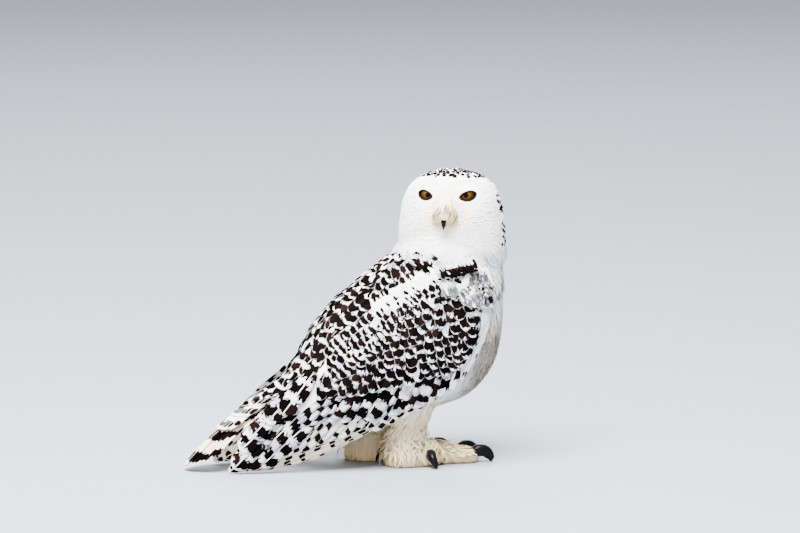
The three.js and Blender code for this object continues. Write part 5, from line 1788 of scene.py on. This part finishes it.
def make_wing_front(draw):
    """The wing's front edge, the ruffled feathers over the wrist and the dark streak behind them."""
    ruffled = plumage("ruffled_contour", -1, 15, 60, chevron=1.0, margin=1.6, ragged=1.4, spread=1.2,
                      grey=1.0)
    fringed = plumage("spotted_edge", 5.0, 7.5, 17, chevron=2.0, margin=0.7, shaft=0.4, ragged=0.9,
                      spread=3.0, missing=0.15, grey=0.5)
    dark = plumage("dark_contour", -4, 11.5, 60, margin=2.0, ragged=1.4, spread=1.0, grey=0.9)
    front = marked(wing_rows(FRONT_ROWS, COVERT, 100), (0.3, 0.7), draw)
    put_wing_piece("wing_front", front, COVERT, fringed, 76, 0.1)
    put_wing_piece("shoulder_ruffle", [ruffle()], BODY, ruffled, 77)
    streaks = [streak(*line) for line in STREAKS]
    put_wing_piece("shoulder_streak", streaks, BODY, dark, 96, sides=("right",))


def make_primaries(cream):
    """The primaries that show past the tertials, stacked outwards from the lowest."""
    k = np.linspace(0, 1, len(PRIMARY_TIPS))[:, None]
    roots = mix(np.array(PRIMARY_ROOTS[0], float), np.array(PRIMARY_ROOTS[1], float), k)
    height = PRIMARY_LOW + PRIMARY_PITCH * np.arange(len(k))
    wide = np.full(len(k), PRIMARY_WIDE)
    top, long = feather_grid(wing_place, roots, np.array(PRIMARY_TIPS, float), wide,
                             np.stack([height, height], -1), np.zeros(len(k)), 0.25, FLIGHT)
    put_wing_piece("primaries", [(top, long, wide)], FLIGHT, cream, 74, 0.55)


def make_wing_arms():
    """The arm in each wing: a plate from its lower edge to its upper one, as thick as the height over the
    axis gives, and padded towards the flank by an S-curve low at the front."""
    u = np.linspace(-0.115, 0.78, 40)[:, None]
    across = np.linspace(0, 1, 16)[None, :]
    t = mix(arm_bottom(u), wing_top(u) - 5, across)
    inside = -1.2 - 6.2 * smooth((-t - 15) / 25) * smooth((0.5 - u) / 0.2)
    x = WING_FROM[0] + WING_AXIS[0] * WING_LENGTH * u + WING_RISE[0] * t
    z = WING_FROM[1] + WING_AXIS[1] * WING_LENGTH * u + WING_RISE[1] * t
    outer, inner = wing_place(x, z, arm_thick(t) - 0.8), wing_place(x, z, inside + 0.6)
    rings = np.concatenate([outer, inner[:, ::-1]], 1)
    down = bpy.data.materials["soft_contour"]
    for side, points in (("right", rings), ("left", tucked(rings.copy()))):
        piece(f"wing_arm_{side}", new_mesh(f"wing_arm_{side}", *closed_rings(points)), down)


def make_wings():
    """Both wings, feather by feather, from the coverts to the arm that they hide."""
    draw = draws(64)
    cream = plumage("cream_primary", 5.0, 11.0, 23, chevron=2.0, margin=0.9, shaft=0.8, ragged=0.8,
                    spread=6.0, missing=0.08, grey=0.6)
    make_coverts(draw)
    make_flight_feathers(cream)
    make_wing_front(draw)
    make_primaries(cream)
    make_wing_arms()


def make_tail():
    """Twelve tail feathers stacked from the outermost up to the middle pair, and three rows of coverts over
    them, their tips along a parabola."""
    banded = plumage("banded_tail", 8, 21, 43, chevron=1.0, margin=1.1, shaft=0.3, ragged=1.6, spread=1.0,
                     missing=0.04, grey=0.1)
    over_tail = plumage("blotched_tail_covert", 4, 15, 25, chevron=-2.0, margin=0.95, shaft=0.25, ragged=1.8,
                        spread=2.0, grey=0.25)
    pairs, wide, pitch = 6, 26.0, 1.1
    roots, tips, height = [], [], []
    for i in range(pairs):
        for side in (-1, 1):
            share = (i + 0.35) / (pairs - 0.65)
            roots.append((0.0, side * TAIL["root"] * share))
            tips.append((TAIL_LENGTH * (1 - 0.006 * i * i), side * (TAIL["tip"] - wide / 2) * share))
            height.append(-pitch * i - 0.2 if i else (0 if side > 0 else pitch * 0.9))
    height = np.array(height)
    top, long = feather_grid(tail_place, np.array(roots), np.array(tips), np.full(len(roots), wide),
                             np.stack([height, height], -1), np.zeros(len(roots)), 0.3, FLIGHT)
    width, marks, cream = (np.full(len(top), v) for v in (wide, 1.0, 0.6))
    facts = described(top, long, width, FLIGHT, 85, marks, cream)
    vanes("tail_feathers", top[:, :, ::-1], flipped(facts), grid_patch(len(top)), banded,
          ["tail"])
    rows = []
    for n, (end, count, spread) in enumerate(TAIL_COVERT_ROWS):
        aside = np.linspace(-spread, spread, count)
        tip = np.stack([end - 0.016 * aside**2, aside], -1)
        root = np.stack([tip[:, 0] - 58, aside * 0.55], -1)
        lift = np.stack([np.full(count, 1.6 + 1.2 * n), 3.4 + 1.3 * n + 0.35 * np.arange(count) % 2], -1)
        wide = np.full(count, 21.0)
        rows.append((*feather_grid(tail_place, root, tip, wide, lift, np.zeros(count), 1.4, COVERT), wide))
    top, long, width = gathered(rows)
    facts = described(top, long, width, COVERT, 86, np.ones(len(top)), np.full(len(top), 0.1))
    vanes("tail_coverts", top[:, :, ::-1], flipped(facts), grid_patch(len(top)), over_tail)


# ---- stage ----------------------------------------------------------------------------------------------

# Lengths of the stage are in metres. The view turns round the place it looks at, from straight at the side.
VIEW = {"turn": math.radians(-15), "rise": math.radians(8), "away": 12.0, "at": (0.0862, 0.0174, 0.2792)}
FLOOR_HALF = 12.0
# Lights: place, side of the square, power in watts and colour. All of them face the middle of the body.
LIGHTS = (
    ("key_light", (-0.8, -1.4, 3.7), 2.6, 1650, "#FFFFFF"),
    ("fill_light", (-1.8, -3.2, 1.0), 2.6, 60, "#FFF8EE"),
    ("rim_light", (0.6, 3.6, 3.6), 4.0, 400, "#FFFFFF"),
)
LIT = (0.05, 0.0, 0.2)


def standing(place, right, up, back):
    """The matrix of an object at a place, turned to three axes."""
    return Matrix([[*map(float, row)] for row in np.stack([right, up, back, place], -1)] + [[0, 0, 0, 1]])


def make_stage():
    """A pale plain floor, soft studio light and the camera."""
    settings = bpy.context.scene.owl
    turn, rise = VIEW["turn"], VIEW["rise"]
    back = np.array((math.sin(turn) * math.cos(rise), -math.cos(turn) * math.cos(rise), math.sin(rise)))
    right = np.array((math.cos(turn), math.sin(turn), 0.0))
    up = np.cross(back, right)
    place = np.array(VIEW["at"]) + back * VIEW["away"]
    lens = bpy.data.cameras.new("camera")
    lens.lens, lens.sensor_width, lens.clip_end = settings.lens, 36.0, 100.0
    camera = bpy.data.objects.new("camera", lens)
    camera.matrix_world = standing(place, right, up, back)
    bpy.context.scene.collection.objects.link(camera)
    bpy.context.scene.camera = camera
    corners = np.array([(-1, -1, 0), (1, -1, 0), (1, 1, 0), (-1, 1, 0)]) * FLOOR_HALF / MM
    material, tree, shader = fresh("pale_floor")
    give(tree, shader, {"Base Color": tuple(settings.floor), "Roughness": 0.6})
    mesh = new_mesh("floor", corners, np.array([[0, 1, 2, 3]]))
    mesh.materials.append(material)
    floor = bpy.data.objects.new("floor", mesh)
    bpy.context.scene.collection.objects.link(floor)
    floor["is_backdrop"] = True
    for name, at, size, power, colour in LIGHTS:
        light = bpy.data.lights.new(name, "AREA")
        light.energy, light.size, light.color = power, size, linear(colour)[:3]
        lamp = bpy.data.objects.new(name, light)
        away = unit(np.array(at) - np.array(LIT))
        aside = unit(np.cross(UP, away))
        lamp.matrix_world = standing(at, aside, np.cross(away, aside), away)
        bpy.context.scene.collection.objects.link(lamp)
    world = bpy.data.worlds.new("studio")
    world.use_nodes = True
    background = world.node_tree.nodes["Background"]
    background.inputs[0].default_value = linear("#E3E7EE")
    background.inputs[1].default_value = 0.95
    bpy.context.scene.world = world


# ---- the add-on -----------------------------------------------------------------------------------------


def colour_property(name, text, value):
    """A colour, its default given as an sRGB hex colour."""
    return FloatVectorProperty(name=name, description=text, default=linear(value), size=4, min=0, max=1,
                               subtype="COLOR")


def length_property(name, text, value):
    """A length in metres."""
    return FloatProperty(name=name, description=text, default=value, min=0.001, max=0.02, unit="LENGTH")


class OwlSettings(bpy.types.PropertyGroup):
    """Sizes and colours that a user would change."""

    white: colour_property("White", "Colour of the plain plumage", "#F7F6F3")
    # The grey is the colour of the painted shade on the plumage.
    grey: colour_property("Grey", "Colour of the shaded parts of the plumage", "#8E909E")
    cream: colour_property("Cream", "Colour of the legs, belly and bristles", "#E6CE9C")
    iris: colour_property("Iris", "Colour of the eye", "#55370D")
    floor: colour_property("Floor", "Colour of the floor", "#8A8F98")
    head_coat: length_property("Head Coat", "Depth of the coat on the head, down to the skin", 0.0034)
    trunk_coat: length_property("Trunk Coat", "Depth of the coat on the trunk, down to the skin", 0.0056)
    leg_coat: length_property("Leg Coat", "Depth of the coat on the legs, down to the skin", 0.007)
    toe_coat: length_property("Toe Coat", "Depth of the coat on the toes, down to the skin", 0.0036)
    skin_mesh: length_property("Skin Mesh", "Side of a face of the skin's mesh", 0.003)
    lens: FloatProperty(name="Lens", description="Focal length of the camera", default=377.6, min=20,
                        max=1000, subtype="DISTANCE_CAMERA", unit="CAMERA")
    seed: IntProperty(name="Seed", description="Added to the seed of every random draw", default=0, min=0)


class OWL_OT_skin(bpy.types.Operator):
    """Makes the one skin under the coat."""

    bl_idname = "owl.skin"
    bl_label = "Skin"

    def execute(self, context):
        make_skin()
        return {"FINISHED"}


class OWL_OT_body_coat(bpy.types.Operator):
    """Lays the feathers of neck, breast, flanks and back."""

    bl_idname = "owl.body_coat"
    bl_label = "Body Feathers"

    def execute(self, context):
        make_body_coat()
        return {"FINISHED"}


class OWL_OT_head_coat(bpy.types.Operator):
    """Lays the down of the head."""

    bl_idname = "owl.head_coat"
    bl_label = "Head Down"

    def execute(self, context):
        make_head_coat()
        return {"FINISHED"}


class OWL_OT_bristles(bpy.types.Operator):
    """Lays the bristles at the bill."""

    bl_idname = "owl.bristles"
    bl_label = "Bristles"

    def execute(self, context):
        make_bristles()
        return {"FINISHED"}


class OWL_OT_leg_coats(bpy.types.Operator):
    """Lays the feathers of legs and toes."""

    bl_idname = "owl.leg_coats"
    bl_label = "Leg Feathers"

    def execute(self, context):
        make_leg_coats()
        return {"FINISHED"}


class OWL_OT_wings(bpy.types.Operator):
    """Makes both wings, feather by feather."""

    bl_idname = "owl.wings"
    bl_label = "Wings"

    def execute(self, context):
        make_wings()
        return {"FINISHED"}


class OWL_OT_tail(bpy.types.Operator):
    """Makes the tail and its coverts."""

    bl_idname = "owl.tail"
    bl_label = "Tail"

    def execute(self, context):
        make_tail()
        return {"FINISHED"}


class OWL_OT_eyes(bpy.types.Operator):
    """Makes the eyes and their lids."""

    bl_idname = "owl.eyes"
    bl_label = "Eyes"

    def execute(self, context):
        make_eyes()
        return {"FINISHED"}


class OWL_OT_lid_down(bpy.types.Operator):
    """Lays the smallest feathers round the eyes."""

    bl_idname = "owl.lid_down"
    bl_label = "Lid Down"

    def execute(self, context):
        make_lid_down()
        return {"FINISHED"}


class OWL_OT_bill(bpy.types.Operator):
    """Makes the bill."""

    bl_idname = "owl.bill"
    bl_label = "Bill"

    def execute(self, context):
        make_bill()
        return {"FINISHED"}


class OWL_OT_claws(bpy.types.Operator):
    """Makes the claws."""

    bl_idname = "owl.claws"
    bl_label = "Claws"

    def execute(self, context):
        make_claws()
        return {"FINISHED"}


class OWL_OT_stage(bpy.types.Operator):
    """Makes the floor, the lights and the camera."""

    bl_idname = "owl.stage"
    bl_label = "Stage"

    def execute(self, context):
        make_stage()
        return {"FINISHED"}


OPERATORS = (
    OWL_OT_skin,
    OWL_OT_body_coat,
    OWL_OT_head_coat,
    OWL_OT_bristles,
    OWL_OT_leg_coats,
    OWL_OT_wings,
    OWL_OT_tail,
    OWL_OT_eyes,
    OWL_OT_lid_down,
    OWL_OT_bill,
    OWL_OT_claws,
    OWL_OT_stage,
)


class OWL_PT_panel(bpy.types.Panel):
    """The owl's settings and steps."""

    bl_idname = "OWL_PT_panel"
    bl_label = "Snowy Owl"
    bl_space_type = "VIEW_3D"
    bl_region_type = "UI"
    bl_category = "Owl"

    def draw(self, context):
        for name in OwlSettings.__annotations__:
            self.layout.prop(context.scene.owl, name)
        for step in OPERATORS:
            self.layout.operator(step.bl_idname)


CLASSES = (OwlSettings, *OPERATORS, OWL_PT_panel)


def register():
    for cls in CLASSES:
        bpy.utils.register_class(cls)
    bpy.types.Scene.owl = PointerProperty(type=OwlSettings)


def unregister():
    del bpy.types.Scene.owl
    for cls in reversed(CLASSES):
        bpy.utils.unregister_class(cls)


def main():
    """Makes the owl and its stage."""
    register()
    for step in OPERATORS:
        getattr(bpy.ops.owl, step.bl_idname.split(".")[1])()
    sizes = {
        name: [list(map(float, corner)) for corner in box]
        for name, box in (("cad", CAD_BOX), ("visual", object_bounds()))
    }


if __name__ == "__main__":
    main()
